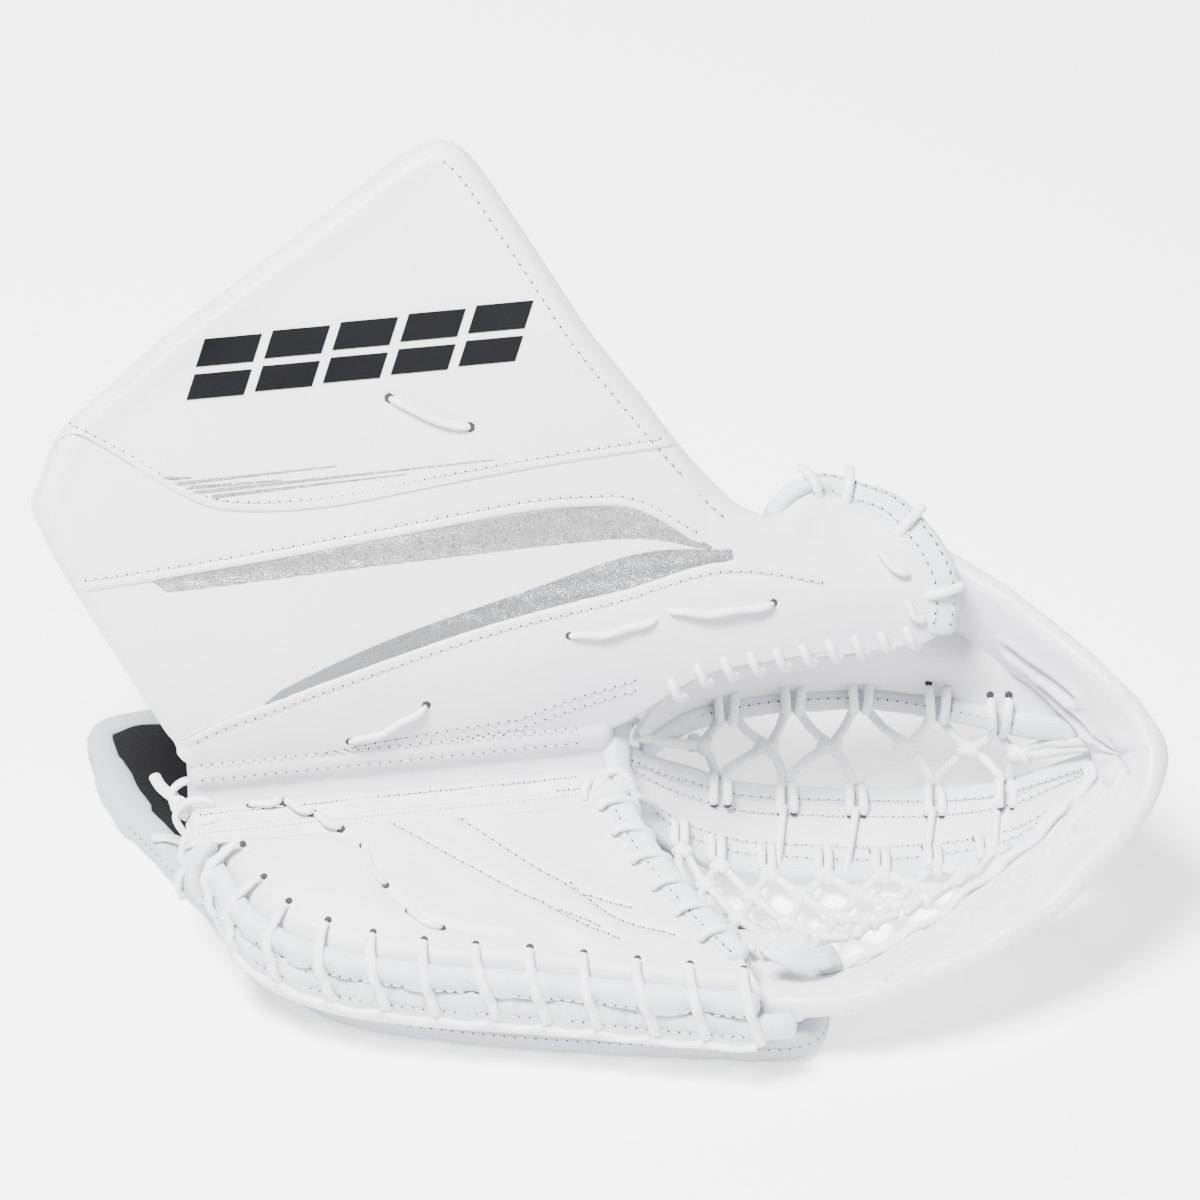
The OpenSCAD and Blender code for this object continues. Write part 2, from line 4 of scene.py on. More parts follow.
import bpy
import numpy as np
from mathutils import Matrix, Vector


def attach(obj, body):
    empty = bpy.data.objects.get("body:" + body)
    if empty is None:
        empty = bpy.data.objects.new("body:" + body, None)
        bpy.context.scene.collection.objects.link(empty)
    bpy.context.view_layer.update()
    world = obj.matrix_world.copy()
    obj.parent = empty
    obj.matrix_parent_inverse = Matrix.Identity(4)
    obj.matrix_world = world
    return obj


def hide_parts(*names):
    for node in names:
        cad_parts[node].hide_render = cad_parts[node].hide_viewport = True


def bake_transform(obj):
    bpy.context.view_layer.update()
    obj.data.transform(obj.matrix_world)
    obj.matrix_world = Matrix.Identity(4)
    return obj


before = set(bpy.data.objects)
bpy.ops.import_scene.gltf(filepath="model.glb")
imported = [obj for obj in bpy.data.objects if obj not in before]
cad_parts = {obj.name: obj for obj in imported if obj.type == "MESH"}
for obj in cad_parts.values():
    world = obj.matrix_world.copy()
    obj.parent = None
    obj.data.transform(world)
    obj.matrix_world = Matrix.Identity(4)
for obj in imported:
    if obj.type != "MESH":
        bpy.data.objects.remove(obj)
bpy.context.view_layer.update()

MM = 0.001
UP = np.array([0, 0, 1.0])
LACE = 2.3              # half the lace's width
STITCH_PITCH = 4.4
STITCH_LENGTH = 2.9
STITCH_R = 0.34         # half the thread's width
STITCH_LIFT = 0.15      # thread's height over the leather
TAPE = (0.73, 0.74, 0.785)
WHITE = (0.70, 0.70, 0.715)

# ------------------------------------------------------------------ shared shape, in millimetres
UPPER_FOLD = np.array([-169.0, -42.0, 62.0])
LOWER_FOLD = np.array([-164.0, -59.0, 60.0])
FOLD = np.array([395.0, 52.0, 8.0])
FOOT_LEAN, HEAD_LEAN, FOOT, SHOULDER = math.radians(92), math.radians(55), 12.0, 78.0
ROLL_R = (SHOULDER - FOOT) / (FOOT_LEAN - HEAD_LEAN)
THUMB_CURL = 22.0
PALM_SLOPE = math.radians(8.5)
CUFF_T = 13.4
UPPER_PANEL_T = 2.2     # the cuff's upper panel over its shell
PANEL_T = 1.2           # its two lower panels
SEAM_INSET = 4.4        # stitching in from a panel's edge
PANEL_COLUMNS = 130
CUFF_ROLL, PALM_ROLL, BAND_ROLL = 6.5, 7.5, 6.5     # radius of the leather's turned edges
HEEL_SWELL, FINGER_SWELL = 5.0, 2.0                 # the palm's two padded mounds
CREASE_DEPTH, CREASE_WIDTH = 1.7, 2.4               # the heel's long crease
FOLD_DEPTH, FOLD_RIDGE = 2.9, 1.3                   # the bands' folds and the ridges by them
CORD_LIFT = 2.0                                     # running laces over the finger band
RIPPLE_WAVES = 6        # waves summed for an uneven swell
PALM_T = 7.4
BAND_T = 9.4
WEB_T = 4.8

# Cuff and thumb board in flat leather: x, and height s up the face. The two edges are matched.
FOOT_LINE = [(-238.3, 144), (-239.8, 137.5), (-237, 129), (-228, 110), (-207, 74), (-191, 44),
             (-182, 27), (-170, 14), (-155, 8), (-145, 7), (-136, 6), (-117, 5), (-96, 5),
             (-74, 5), (-60, 5), (-45, 5), (-25, 7), (-8, 10), (10, 16), (26, 26), (42, 35),
             (58, 38), (74, 39), (90, 40), (108, 40), (122, 41), (135, 42), (146, 44)]
HEAD_LINE = [(-233, 157), (-229.5, 165.5), (-223, 172.5), (-207, 185), (-191, 198), (-179, 207),
             (-167, 215), (-155, 223), (-145, 230), (-136, 236), (-118, 248), (-102, 259),
             (-84, 271), (-68, 276), (-55, 268), (-35, 238), (-20, 214), (-5, 190), (16, 162),
             (42, 129), (58, 112), (69, 106), (77, 105), (85, 112), (95, 114), (111, 108),
             (125, 101), (137, 91)]
LEFT_CORNER = 6 / 27    # share of the foot line that is the cuff's left edge
# Seams of the cuff's panels and outlines of its inlays
PANEL_SEAM = [(-250, 184), (-226, 168), (-199, 151), (-176, 135), (-155, 127), (-115, 125),
              (-64, 130), (-18, 134), (29, 137), (60, 140)]
MIDDLE_SEAM = [(-260, 98), (-211, 100), (-178, 102), (-128, 106), (-77, 111), (-35, 115),
               (-9, 115), (16, 111), (52, 89), (100, 79), (170, 62)]
LOWER_SEAM = [(-260, -18), (-182, 29), (-137, 45), (-92, 58), (-43, 70), (8, 78), (52, 86),
              (100, 76), (170, 60)]
INLAY_A = [[(-183, 96), (-149, 97), (-107, 98.5), (-64, 99.5), (-18, 100.5), (16, 99.5), (46, 92)],
           [(-190, 101), (-149, 104), (-107, 108), (-64, 112), (-18, 115), (16, 111), (47, 93)]]
INLAY_B = [[(-145, 42), (-115, 51.5), (-69, 64), (-18, 74.5), (22, 80.5), (56, 87)],
           [(-136, 49), (-112, 59), (-82, 69), (-35, 81), (16, 93), (55, 91)]]
PALM_BACK = [(-167, 1), (-133, 1), (-99, 1), (-65, 1), (-31, 1), (-4, 2), (6, 12), (16, 37),
             (37, 74), (58, 104)]
PALM_FRONT = [(-163, 14), (-158, 24), (-142, 52), (-113, 73), (-76, 86), (-42, 94), (-9, 102),
              (20, 110), (45, 116), (66, 121)]
BACKHAND = [(84, -138), (41, -139), (-43, -132), (-103, -120), (-130, -102), (-148, -83),
            (-171, -48), (-191, -19), (-209, 7), (-224, 42), (-224, 62), (-190, 70),
            (-110, 66), (-30, 50), (20, 18), (29, -22), (38, -60), (78, -84), (90, -110)]
WEB_NEAR = [(8, -35, 58), (14, -34, 50), (26, -32, 35), (38, -31, 24), (60, -29, 13),
            (87, -28, 9.5), (116, -29, 9), (142, -30, 12), (167, -33, 20), (184, -36, 31),
            (200, -36, 48)]
WEB_FAR = [(8, -16, 62), (14, -12, 56), (26, -6, 44), (38, 1, 34), (60, 8, 20), (87, 13, 13),
           (116, 13, 12), (142, 9, 15), (167, 1, 24), (184, -7, 36), (202, -18, 54)]
STEM_NEAR = WEB_NEAR + [(210, -37, 61)]
STEM_FAR = WEB_FAR + [(212, -25, 65)]
STRIP_LOW = [(18, -5, 58), (26, 10, 53), (39, 24, 51), (59, 33, 50), (82, 37, 51), (118, 36, 53),
             (143, 27, 56), (165, 14, 61), (184, 1, 66), (198, -8, 72), (205, -15, 75)]
STRIP_MID = [(17, -9, 66), (26, 2, 72), (39, 8, 80), (59, 11, 85), (82, 13, 88), (118, 15, 88),
             (143, 18, 88), (165, 15, 86), (186, 5, 81), (203, -8, 76), (209, -18, 77)]
STRIP_TOP = [(16, -14, 72), (26, -9, 86), (42, -5, 98), (62, -1, 101), (84, 1, 102), (115, 4, 103),
             (138, 26, 106), (162, 26, 101), (187, 13, 92), (207, -5, 85), (213, -19, 79)]
BAND_IN = [(146, 27, 93), (158, 23, 88), (170, 17, 84), (182, 9, 81), (194, -2, 77),
           (203, -12, 72), (209, -23, 67), (208, -33, 62), (200, -42, 56), (188, -51, 48),
           (175, -60, 41), (153, -78, 33), (126, -97, 28), (101, -112, 26), (80, -121, 27),
           (62, -124, 29)]
BAND_RIM = [(133, 46, 136), (148, 33, 132), (171, 12, 128), (195, -12, 121), (215, -32, 112),
            (228, -45, 103), (234, -56, 97), (231, -68, 90), (224, -80, 83), (215, -91, 78),
            (198, -105, 69), (174, -121, 57), (148, -133, 47), (119, -142, 38), (90, -146, 34),
            (66, -145, 31)]
BAND_TIP = 6 / 15       # share of the band's length where the fold passes


def along(points, u):
    """Smooth curve through points, or through whole rows of points, for u from 0 to 1."""
    p = np.asarray(points, float)
    n = len(p) - 1
    f = np.clip(np.asarray(u, float), 0, 1) * n
    i = np.minimum(f.astype(int), n - 1)
    t = (f - i).reshape((-1,) + (1,) * (p.ndim - 1))
    e = np.concatenate([[2 * p[0] - p[1]], p, [2 * p[-1] - p[-2]]])
    a, b, c, d = e[i], e[i + 1], e[i + 2], e[i + 3]
    return 0.5 * (2 * b + (c - a) * t + (2 * a - 5 * b + 4 * c - d) * t ** 2
                  + (3 * b - a - 3 * c + d) * t ** 3)


def lengths(path):
    """Distance along a path at each of its points."""
    return np.concatenate([[0], np.cumsum(np.linalg.norm(np.diff(path, axis=0), axis=1))])


def read_at(values, run, at):
    """Values given at distances run along a path, read at the distances at."""
    return np.stack([np.interp(at, run, column) for column in values.T], axis=-1)


def spaced(path, n):
    """n + 1 points spaced evenly along a path."""
    run = lengths(path)
    return read_at(path, run, np.linspace(0, run[-1], n + 1))


def even(points, n, u0=0.0, u1=1.0):
    """n + 1 points spaced evenly along the smooth curve through points."""
    return spaced(along(points, np.linspace(u0, u1, 600)), n)


def closed_curve(points, n):
    """n points evenly round the smooth closed curve through points."""
    p = np.asarray(points, float)
    m = len(p)
    wrap = np.vstack([p[-3:], p, p[:4]])
    return even(wrap, n, 3 / (m + 6), (m + 3) / (m + 6))[:-1]


def unit(v):
    """Vectors scaled to length one."""
    return v / np.maximum(np.linalg.norm(v, axis=-1, keepdims=True), 1e-9)


def ramp(a, b, x):
    """Smooth step from 0 at a to 1 at b."""
    t = np.clip((np.asarray(x, float) - a) / (b - a), 0, 1)
    return t * t * (3 - 2 * t)


def fold_point(at, x):
    """Points of a fold line at x, one fold starting at the point at."""
    x = np.asarray(x, float)[..., None]
    return at + FOLD * (x - at[0]) / FOLD[0]


def cuff_at(p):
    """Points of the cuff's face from flat coordinates (x, s)."""
    x, s = p[..., 0], p[..., 1]
    a = FOOT_LEAN - np.clip(s - FOOT, 0, SHOULDER - FOOT) / ROLL_R
    low, high = np.minimum(s, FOOT), np.maximum(s - SHOULDER, 0)
    y = low * math.cos(FOOT_LEAN) + ROLL_R * (math.sin(FOOT_LEAN) - np.sin(a)) \
        + high * math.cos(HEAD_LEAN)
    z = low * math.sin(FOOT_LEAN) + ROLL_R * (np.cos(a) - math.cos(FOOT_LEAN)) \
        + high * math.sin(HEAD_LEAN)
    c = THUMB_CURL * ramp(20, 120, x) * (np.maximum(s - 60, 0) / 60) ** 2
    q = fold_point(UPPER_FOLD, x)
    q[..., 1] += y + 0.82 * c
    q[..., 2] += z - 0.57 * c
    return q


def cuff_normal(p):
    """Unit normals of the cuff's face, out of the palm side."""
    d = 0.5
    du = cuff_at(p + [d, 0]) - cuff_at(p - [d, 0])
    dv = cuff_at(p + [0, d]) - cuff_at(p - [0, d])
    return unit(np.cross(du, dv))


def palm_at(p):
    """Points of the palm's face from flat coordinates (x, t)."""
    q = fold_point(LOWER_FOLD, p[..., 0])
    q[..., 1] -= p[..., 1] * math.cos(PALM_SLOPE)
    q[..., 2] -= p[..., 1] * math.sin(PALM_SLOPE)
    return q


PALM_UP = unit(np.array([0.0, -math.sin(PALM_SLOPE), math.cos(PALM_SLOPE)]))


def nearest_x(path, x):
    """The path's point nearest to a value of x."""
    return path[np.argmin(np.abs(path[:, 0] - x))]


def rail_grid(rails, us, vs):
    """Grid of points through matched rails: rows by vs, columns by us."""
    return along(np.stack([along(r, us) for r in rails]), vs)


def grid_normals(g):
    """Unit normals of a grid of points."""
    return unit(np.cross(np.gradient(g, axis=1), np.gradient(g, axis=0)))


def bell(x, width):
    """Smooth bump, one high at x = 0."""
    return np.exp(-(x / width) ** 2)


def mound(flat, middle, spread):
    """Smooth oval hump, one high at its middle."""
    return np.exp(-(((flat - middle) / spread) ** 2).sum(axis=-1))


def line_distance(p, line):
    """Distance from each flat point to a line of points."""
    q = p.reshape(-1, p.shape[-1])
    best = np.full(len(q), 1e9)
    for a, b in zip(line[:-1], line[1:]):
        e = b - a
        t = np.clip(((q - a) @ e) / max(e @ e, 1e-9), 0, 1)
        best = np.minimum(best, np.linalg.norm(q - a - t[:, None] * e, axis=1))
    return best.reshape(p.shape[:-1])


def groove(p, points, width, depth):
    """Soft groove of a given width and depth along a flat curve."""
    return -depth * bell(line_distance(p, even(points, 40)), width)


def ripple(p, size, seed):
    """Smooth uneven swell, about one high, with bumps of about the given size."""
    rng = np.random.default_rng(seed)
    out = np.zeros(p.shape[:-1])
    for _ in range(RIPPLE_WAVES):
        k = rng.normal(size=p.shape[-1])
        k *= 2 * math.pi / (size * rng.uniform(0.7, 1.6)) / np.linalg.norm(k)
        out += np.sin(p @ k + rng.uniform(0, 6.28))
    return out / math.sqrt(RIPPLE_WAVES)


def rolled(d, r):
    """How far a face drops at distance d from its edge when the edge is rolled to radius r."""
    k = np.clip(r - d, 0, r)
    return -(r - np.sqrt(np.maximum(r * r - k * k, 0)))


# ------------------------------------------------------------------ mesh parts
def part(verts, faces, uvs):
    """Mesh part: points, faces and one texture coordinate for each corner."""
    return {"v": np.asarray(verts, float), "f": faces, "uv": uvs}


def grid_faces(h, w, at, flip):
    """Quads of a grid whose first point has the index at."""
    j, i = np.meshgrid(np.arange(h - 1), np.arange(w - 1), indexing="ij")
    a = (at + j * w + i).ravel()
    quad = [a, a + 1, a + w + 1, a + w]
    return np.stack(quad[::-1] if flip else quad, axis=1)


def slab(g, top, low):
    """Closed layer between two offsets of a grid along its normals."""
    h, w = g.shape[:2]
    n = grid_normals(g)
    top = np.broadcast_to(top, (h, w))[..., None]
    low = np.broadcast_to(low, (h, w))[..., None]
    return slab_between(g + n * top, g + n * low)


def slab_between(upper, lower):
    """Closed solid between two grids of the same shape."""
    h, w = upper.shape[:2]
    verts = np.concatenate([upper.reshape(-1, 3), lower.reshape(-1, 3)])
    back = h * w
    rim = np.concatenate([np.arange(w - 1), np.arange(h - 1) * w + w - 1,
                          (h - 1) * w + np.arange(w - 1, 0, -1), np.arange(h - 1, 0, -1) * w])
    nxt = np.roll(rim, -1)
    faces = np.concatenate([grid_faces(h, w, 0, False), grid_faces(h, w, back, True),
                            np.stack([back + rim, back + nxt, nxt, rim], axis=1)])
    u, v = lengths(upper[h // 2]), lengths(upper[:, w // 2])
    flat = np.stack(np.broadcast_arrays(u[None, :], v[:, None]), axis=-1).reshape(-1, 2)
    flat = np.concatenate([flat, flat]) / 10
    return part(verts, faces.tolist(), flat[faces].reshape(-1, 2))


def frames(path, up=None):
    """Tangent, side and up vectors along a path; without up they are carried along it."""
    t = unit(np.gradient(path, axis=0))
    if up is not None:
        w = np.broadcast_to(np.asarray(up, float), path.shape)
        s = unit(np.cross(t, w))
        return t, s, np.cross(s, t)
    s = np.zeros_like(path)
    start = np.array([0.0, 0, 1]) if abs(t[0][2]) < 0.8 else np.array([1.0, 0, 0])
    s[0] = unit(np.cross(t[0], start))
    for k in range(1, len(path)):
        s[k] = unit(s[k - 1] - t[k] * (s[k - 1] @ t[k]))
    return t, s, np.cross(s, t)


def tube(path, a, b=None, up=None, sides=12, power=2.0, closed=False):
    """Closed tube with an oval or squarish section: a across, b along up. a and b may vary."""
    path = np.asarray(path, float)
    n = len(path)
    a = np.broadcast_to(np.asarray(a, float), (n,)).copy()
    b = a.copy() if b is None else np.broadcast_to(np.asarray(b, float), (n,)).copy()
    if closed:
        _, s, v = (x[1:-1] for x in frames(np.vstack([path[-1], path, path[0]]), up))
    else:
        _, s, v = frames(path, up)
    if not closed:
        run = lengths(path)
        end = max(min(a[0], b[0]), 0.01)
        near = np.minimum(run, run[-1] - run) / end
        k = np.sqrt(np.clip(1 - np.clip(1 - near, 0, 1) ** 2, 0.0004, 1))
        a, b = a * k, b * k
    q = np.linspace(0, 2 * math.pi, sides, endpoint=False)
    cx = np.sign(np.cos(q)) * np.abs(np.cos(q)) ** (2 / power)
    cy = np.sign(np.sin(q)) * np.abs(np.sin(q)) ** (2 / power)
    verts = path[:, None] + (a[:, None] * cx)[..., None] * s[:, None] \
        + (b[:, None] * cy)[..., None] * v[:, None]
    rows = n if closed else n - 1
    k, i = np.meshgrid(np.arange(rows), np.arange(sides), indexing="ij")
    k, i = k.ravel(), i.ravel()
    k2, i2 = (k + 1) % n, (i + 1) % sides
    faces = np.stack([k * sides + i, k2 * sides + i, k2 * sides + i2, k * sides + i2], axis=1)
    run = lengths(path)
    run = np.append(run, run[-1] + np.linalg.norm(path[0] - path[-1]))
    girth = math.pi * (a.max() + b.max())
    corners = ((k, i), (k + 1, i), (k + 1, i + 1), (k, i + 1))
    uv = np.stack([np.stack([run[row], side / sides * girth], 1) for row, side in corners], axis=1)
    uv = uv.reshape(-1, 2) / 10
    faces = faces.tolist()
    if not closed:
        faces += [list(range(sides - 1, -1, -1)), list(range((n - 1) * sides, n * sides))]
        uv = np.vstack([uv, np.zeros((2 * sides, 2))])
    return part(verts.reshape(-1, 3), faces, uv)


def build(name, parts, look, body=None):
    """One object from mesh parts given in millimetres, with a look from MAT."""
    if isinstance(parts, dict):
        parts = [parts]
    verts, faces, uvs, at = [], [], [], 0
    for p in parts:
        verts.append(p["v"])
        faces += [[k + at for k in f] for f in p["f"]]
        uvs.append(p["uv"])
        at += len(p["v"])
    mesh = bpy.data.meshes.new(name)
    mesh.from_pydata((np.concatenate(verts) * MM).tolist(), [], faces)
    layer = mesh.uv_layers.new(name="UVMap")
    layer.data.foreach_set("uv", np.concatenate(uvs).astype(np.float32).ravel())
    mesh.polygons.foreach_set("use_smooth", [True] * len(mesh.polygons))
    mesh.update()
    mesh.set_sharp_from_angle(angle=math.radians(55))
    obj = bpy.data.objects.new(name, mesh)
    bpy.context.scene.collection.objects.link(obj)
    mesh.materials.append(MAT[look])
    if body:
        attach(obj, body)
    return obj


# ------------------------------------------------------------------ materials
class Look:
    """A procedural material: nodes are added by name and joined by socket."""

    def __init__(self, name, colour, rough, **sockets):
        self.mat = bpy.data.materials.new(name)
        self.mat.use_nodes = True
        self.tree = self.mat.node_tree
        self.shader = self.tree.nodes["Principled BSDF"]
        self.coords = self.tree.nodes.new("ShaderNodeTexCoord")
        self.set("Base Color", (*colour, 1))
        self.set("Roughness", rough)
        for key, value in sockets.items():
            self.set(key.replace("_", " "), value)

    def set(self, key, value):
        """Value of one of the shader's own sockets."""
        self.shader.inputs[key].default_value = value

    def add(self, kind, **values):
        """Node with its settings or sockets given by name."""
        node = self.tree.nodes.new("ShaderNode" + kind)
        for key, value in values.items():
            if hasattr(node, key):
                setattr(node, key, value)
            else:
                node.inputs[key.replace("_", " ")].default_value = value
        return node

    def link(self, a, out, b, into):
        """Join two sockets."""
        self.tree.links.new(a.outputs[out], b.inputs[into])

    def texture(self, kind, **values):
        """Texture over the piece's own coordinates."""
        node = self.add("Tex" + kind, **values)
        self.link(self.coords, "Object", node, "Vector")
        return node

    def woven(self, turn, *waves):
        """Wave textures over the piece's length and width, turned by an angle."""
        turned = self.add("Mapping", Rotation=(0, 0, turn))
        self.link(self.coords, "UV", turned, "Vector")
        nodes = [self.add("TexWave", **values) for values in waves]
        for node in nodes:
            self.link(turned, "Vector", node, "Vector")
        return nodes

    def tint(self, source, out, low, high, a, b):
        """Colour from low to high as a texture's value goes from a to b."""
        ramp_node = self.add("ValToRGB")
        for end, place, colour in zip(ramp_node.color_ramp.elements, (a, b), (low, high)):
            end.position = place
            end.color = (*colour, 1)
        self.link(source, out, ramp_node, "Fac")
        self.link(ramp_node, "Color", self.shader, "Base Color")

    def rough(self, source, out, low, high):
        """Roughness from low to high with a texture's value."""
        spread = self.add("MapRange", To_Min=low, To_Max=high)
        self.link(source, out, spread, "Value")
        self.link(spread, "Result", self.shader, "Roughness")

    def bump(self, source, out, strength, distance, below=None):
        """Relief from a texture, over another relief when one is given."""
        n = self.add("Bump", Strength=strength, Distance=distance)
        self.link(source, out, n, "Height")
        if below:
            self.link(below, "Normal", n, "Normal")
        self.link(n, "Normal", self.shader, "Normal")
        return n


def leather(name, colour, shade, rough=(0.36, 0.5), grain=1500.0, shine=0.42):
    """Leather: cloudy colour, patchy gloss, pores and fine folds."""
    m = Look(name, colour, rough[0], Specular_IOR_Level=shine)
    m.tint(m.texture("Noise", Scale=14.0, Detail=3.0), "Fac", shade, colour, 0.25, 0.62)
    m.rough(m.texture("Noise", Scale=60.0, Detail=2.0), "Fac", *rough)
    pores = m.bump(m.texture("Voronoi", Scale=grain), "Distance", 0.18, 0.0002)
    folds = m.texture("Noise", Scale=160.0, Detail=4.0, Roughness=0.6)
    m.bump(folds, "Fac", 0.12, 0.0006, pores)
    return m.mat


def weave(name, colour, dark, pitch=9.0, strength=0.5, rough=0.75, turn=0.0, across=None):
    """Woven tape: two crossing sets of threads over the mesh's own length and width."""
    m = Look(name, colour, rough, Specular_IOR_Level=0.3 if colour[0] > 0.2 else 0.12)
    threads = {"Distortion": 0.4, "wave_type": "BANDS"}
    warp, weft = m.woven(turn, {"Scale": pitch, "bands_direction": "X", **threads},
                         {"Scale": across or pitch, "bands_direction": "Y", **threads})
    both = m.add("Math", operation="MULTIPLY")
    m.link(warp, "Fac", both, 0)
    m.link(weft, "Fac", both, 1)
    m.tint(both, "Value", dark, colour, 0.0, 0.45)
    m.bump(both, "Value", strength, 0.0003)
    return m.mat


def braid(name, colour, dark):
    """Smooth round lace with the slant of a tight braid."""
    m = Look(name, colour, 0.5, Specular_IOR_Level=0.4, Sheen_Weight=0.1)
    twist = m.woven(0.75, {"Scale": 1.8, "Distortion": 0.6, "Detail": 1.0})[0]
    m.tint(twist, "Fac", dark, colour, 0.0, 0.5)
    m.bump(twist, "Fac", 0.25, 0.0002)
    return m.mat


def silver_film(name, dark, light, crackle):
    """Metallic film with fine cracks and an uneven sheen."""
    m = Look(name, light, 0.34, Metallic=0.75)
    cracks = m.texture("Voronoi", Scale=crackle, feature="DISTANCE_TO_EDGE")
    m.tint(cracks, "Distance", dark, light, 0.02, 0.12)
    low = m.bump(cracks, "Distance", 0.6, 0.0004)
    wave = m.texture("Noise", Scale=240.0, Detail=3.0)
    m.rough(wave, "Fac", 0.24, 0.48)
    m.bump(wave, "Fac", 0.25, 0.0005, low)
    return m.mat


def fleck(name, colour, dark, scale, rough, strength=0.4):
    """Foam, moulded board, napped cloth and the near-black painted shade of holes: one colour
    broken by fine cells.
    """
    m = Look(name, colour, rough)
    cells = m.texture("Voronoi", Scale=scale)
    m.tint(cells, "Distance", dark, colour, 0.1, 0.6)
    m.bump(cells, "Distance", strength, 0.0004)
    return m.mat


MAT = {
    "leather": leather("white_leather", WHITE, (0.655, 0.65, 0.70)),
    "band": leather("band_leather", (0.70, 0.697, 0.72), (0.645, 0.642, 0.695), (0.28, 0.44)),
    "tape": weave("woven_tape", TAPE, (0.58, 0.595, 0.65), 3.4, 0.45, across=3.8),
    # the white tape darkened to lavender grey: painted shade for the backhand binding low by the
    # floor
    "backtape_painted_shade": weave("woven_backhand_tape_painted_shade", (0.56, 0.575, 0.625), (0.42, 0.435, 0.49), 3.0, 0.5,
                      across=3.6),
    "lace": braid("white_lace", (0.80, 0.80, 0.81), (0.70, 0.705, 0.73)),
    "thread": braid("white_thread", (0.66, 0.665, 0.68), (0.56, 0.565, 0.60)),
    # near-black discs: painted shade inside the needle and lace holes
    "hole_shade": fleck("needle_hole_painted_shade", (0.03, 0.03, 0.035), (0.01, 0.01, 0.012), 2000.0, 0.9),
    "nylon": weave("black_nylon", (0.014, 0.014, 0.016), (0.003, 0.003, 0.004), 2.6, 0.7, 0.6,
                   0.6),
    "silver": silver_film("silver_film", (0.26, 0.26, 0.265), (0.47, 0.47, 0.47), 900.0),
    "steel": silver_film("dark_silver_film", (0.17, 0.175, 0.185), (0.27, 0.275, 0.285), 1500.0),
    "mark": leather("black_mark", (0.005, 0.005, 0.006), (0.003, 0.003, 0.004), (0.5, 0.65),
                    1800.0, 0.08),
    "webbing": weave("black_webbing", (0.035, 0.036, 0.04), (0.01, 0.01, 0.012), 2.0, 0.9, 0.7,
                     across=4.0),
    "nap": fleck("loop_nap", (0.09, 0.09, 0.10), (0.04, 0.04, 0.045), 1600.0, 0.95, 0.8),
    "foam": fleck("closed_foam", (0.72, 0.72, 0.70), (0.60, 0.60, 0.58), 900.0, 0.9),
    "board": fleck("sheet_board", (0.10, 0.10, 0.11), (0.06, 0.06, 0.065), 1200.0, 0.6, 0.2),
}


# ------------------------------------------------------------------ stitching and lace
stitch_parts = {}
# dark discs of painted shade for the holes, gathered by body
painted_hole_parts = {}


def bead(p, n, r, lift=0.0):
    """Small flattened dome of radius r at each point p."""
    parts = []
    ring = np.linspace(0, 2 * math.pi, 6, endpoint=False)
    for c, up in zip(p, n):
        a = unit(np.cross(up, [0.31, 0.9, 0.2]))
        b = np.cross(up, a)
        c = c + up * lift
        rows = [c + rr * (np.cos(ring)[:, None] * a + np.sin(ring)[:, None] * b) + hh * up
                for rr, hh in ((r, -0.25 * r), (0.75 * r, 0.2 * r))]
        v = np.vstack(rows + [c[None] + 0.3 * r * up, c[None] - 0.3 * r * up])
        f = [[i, (i + 1) % 6, 6 + (i + 1) % 6, 6 + i] for i in range(6)]
        f += [[6 + i, 6 + (i + 1) % 6, 12] for i in range(6)]
        f += [[(i + 1) % 6, i, 13] for i in range(6)]
        parts.append(part(v, f, np.zeros((6 * 4 + 12 * 3, 2))))
    return parts


def holes(body, points, normals, r, lift=0.0):
    """Dark discs of radius r on a face, painted shade standing for holes, gathered for the body
    that carries them.
    """
    painted_hole_parts.setdefault(body, []).extend(bead(points, normals, r, lift))


def stitches(body, path, up):
    """Machine stitches along a path on a face, with dark discs of painted shade for the needle
    holes between them.
    """
    run = lengths(path)
    ups = np.broadcast_to(up, path.shape)
    count = max(int(run[-1] / STITCH_PITCH), 1)
    arch = np.array([-0.5, 0.7, 1.0, 0.7, -0.5])[:, None] * STITCH_R * 0.6
    for k in range(count):
        mid = (k + 0.5) * run[-1] / count
        at = mid + np.linspace(-0.5, 0.5, 5) * STITCH_LENGTH
        n = unit(read_at(ups, run, at))
        thread = tube(read_at(path, run, at) + n * (STITCH_LIFT + arch), STITCH_R,
                      0.75 * STITCH_R, n, 6)
        stitch_parts.setdefault(body, []).append(thread)
    at = np.arange(count + 1) * run[-1] / count
    holes(body, read_at(path, run, at), unit(read_at(ups, run, at)), 0.5, STITCH_LIFT * 0.6)


def lace(points, a=LACE, b=None, n=28, sides=10):
    """Length of lace through points."""
    return tube(even(points, n), a, b, None, sides, 2.2)


# ------------------------------------------------------------------ cuff and thumb board
def steps(n, low, high, power=1.6):
    """n + 1 values from 0 to 1, crowded towards either end by low and high."""
    t = np.linspace(0, 1, n + 1)
    near = t ** power
    far = 1 - (1 - t) ** power
    blend = low * (1 - t) + high * t
    mixed = near * (1 - t) + far * t
    return t * (1 - blend) + mixed * blend


def cuff_flat(us, vs):
    """Flat grid between the cuff's two edges, with a bulge at the thumb's end."""
    a, b = along(FOOT_LINE, us), along(HEAD_LINE, us)
    g = a + (b - a) * np.asarray(vs)[:, None, None]
    g[..., 0] += 7 * ramp(0.93, 1, us) * np.sin(math.pi * np.asarray(vs))[:, None]
    return g


CUFF_EDGE = np.vstack([even(FOOT_LINE, 60, 0, LEFT_CORNER), even(HEAD_LINE, 260)])
CUFF_END = cuff_flat(np.array([1.0]), np.linspace(1, 0, 20))[:, 0]
CUFF_RIM = np.vstack([CUFF_EDGE[:61][::-1], CUFF_EDGE[61:], CUFF_END])


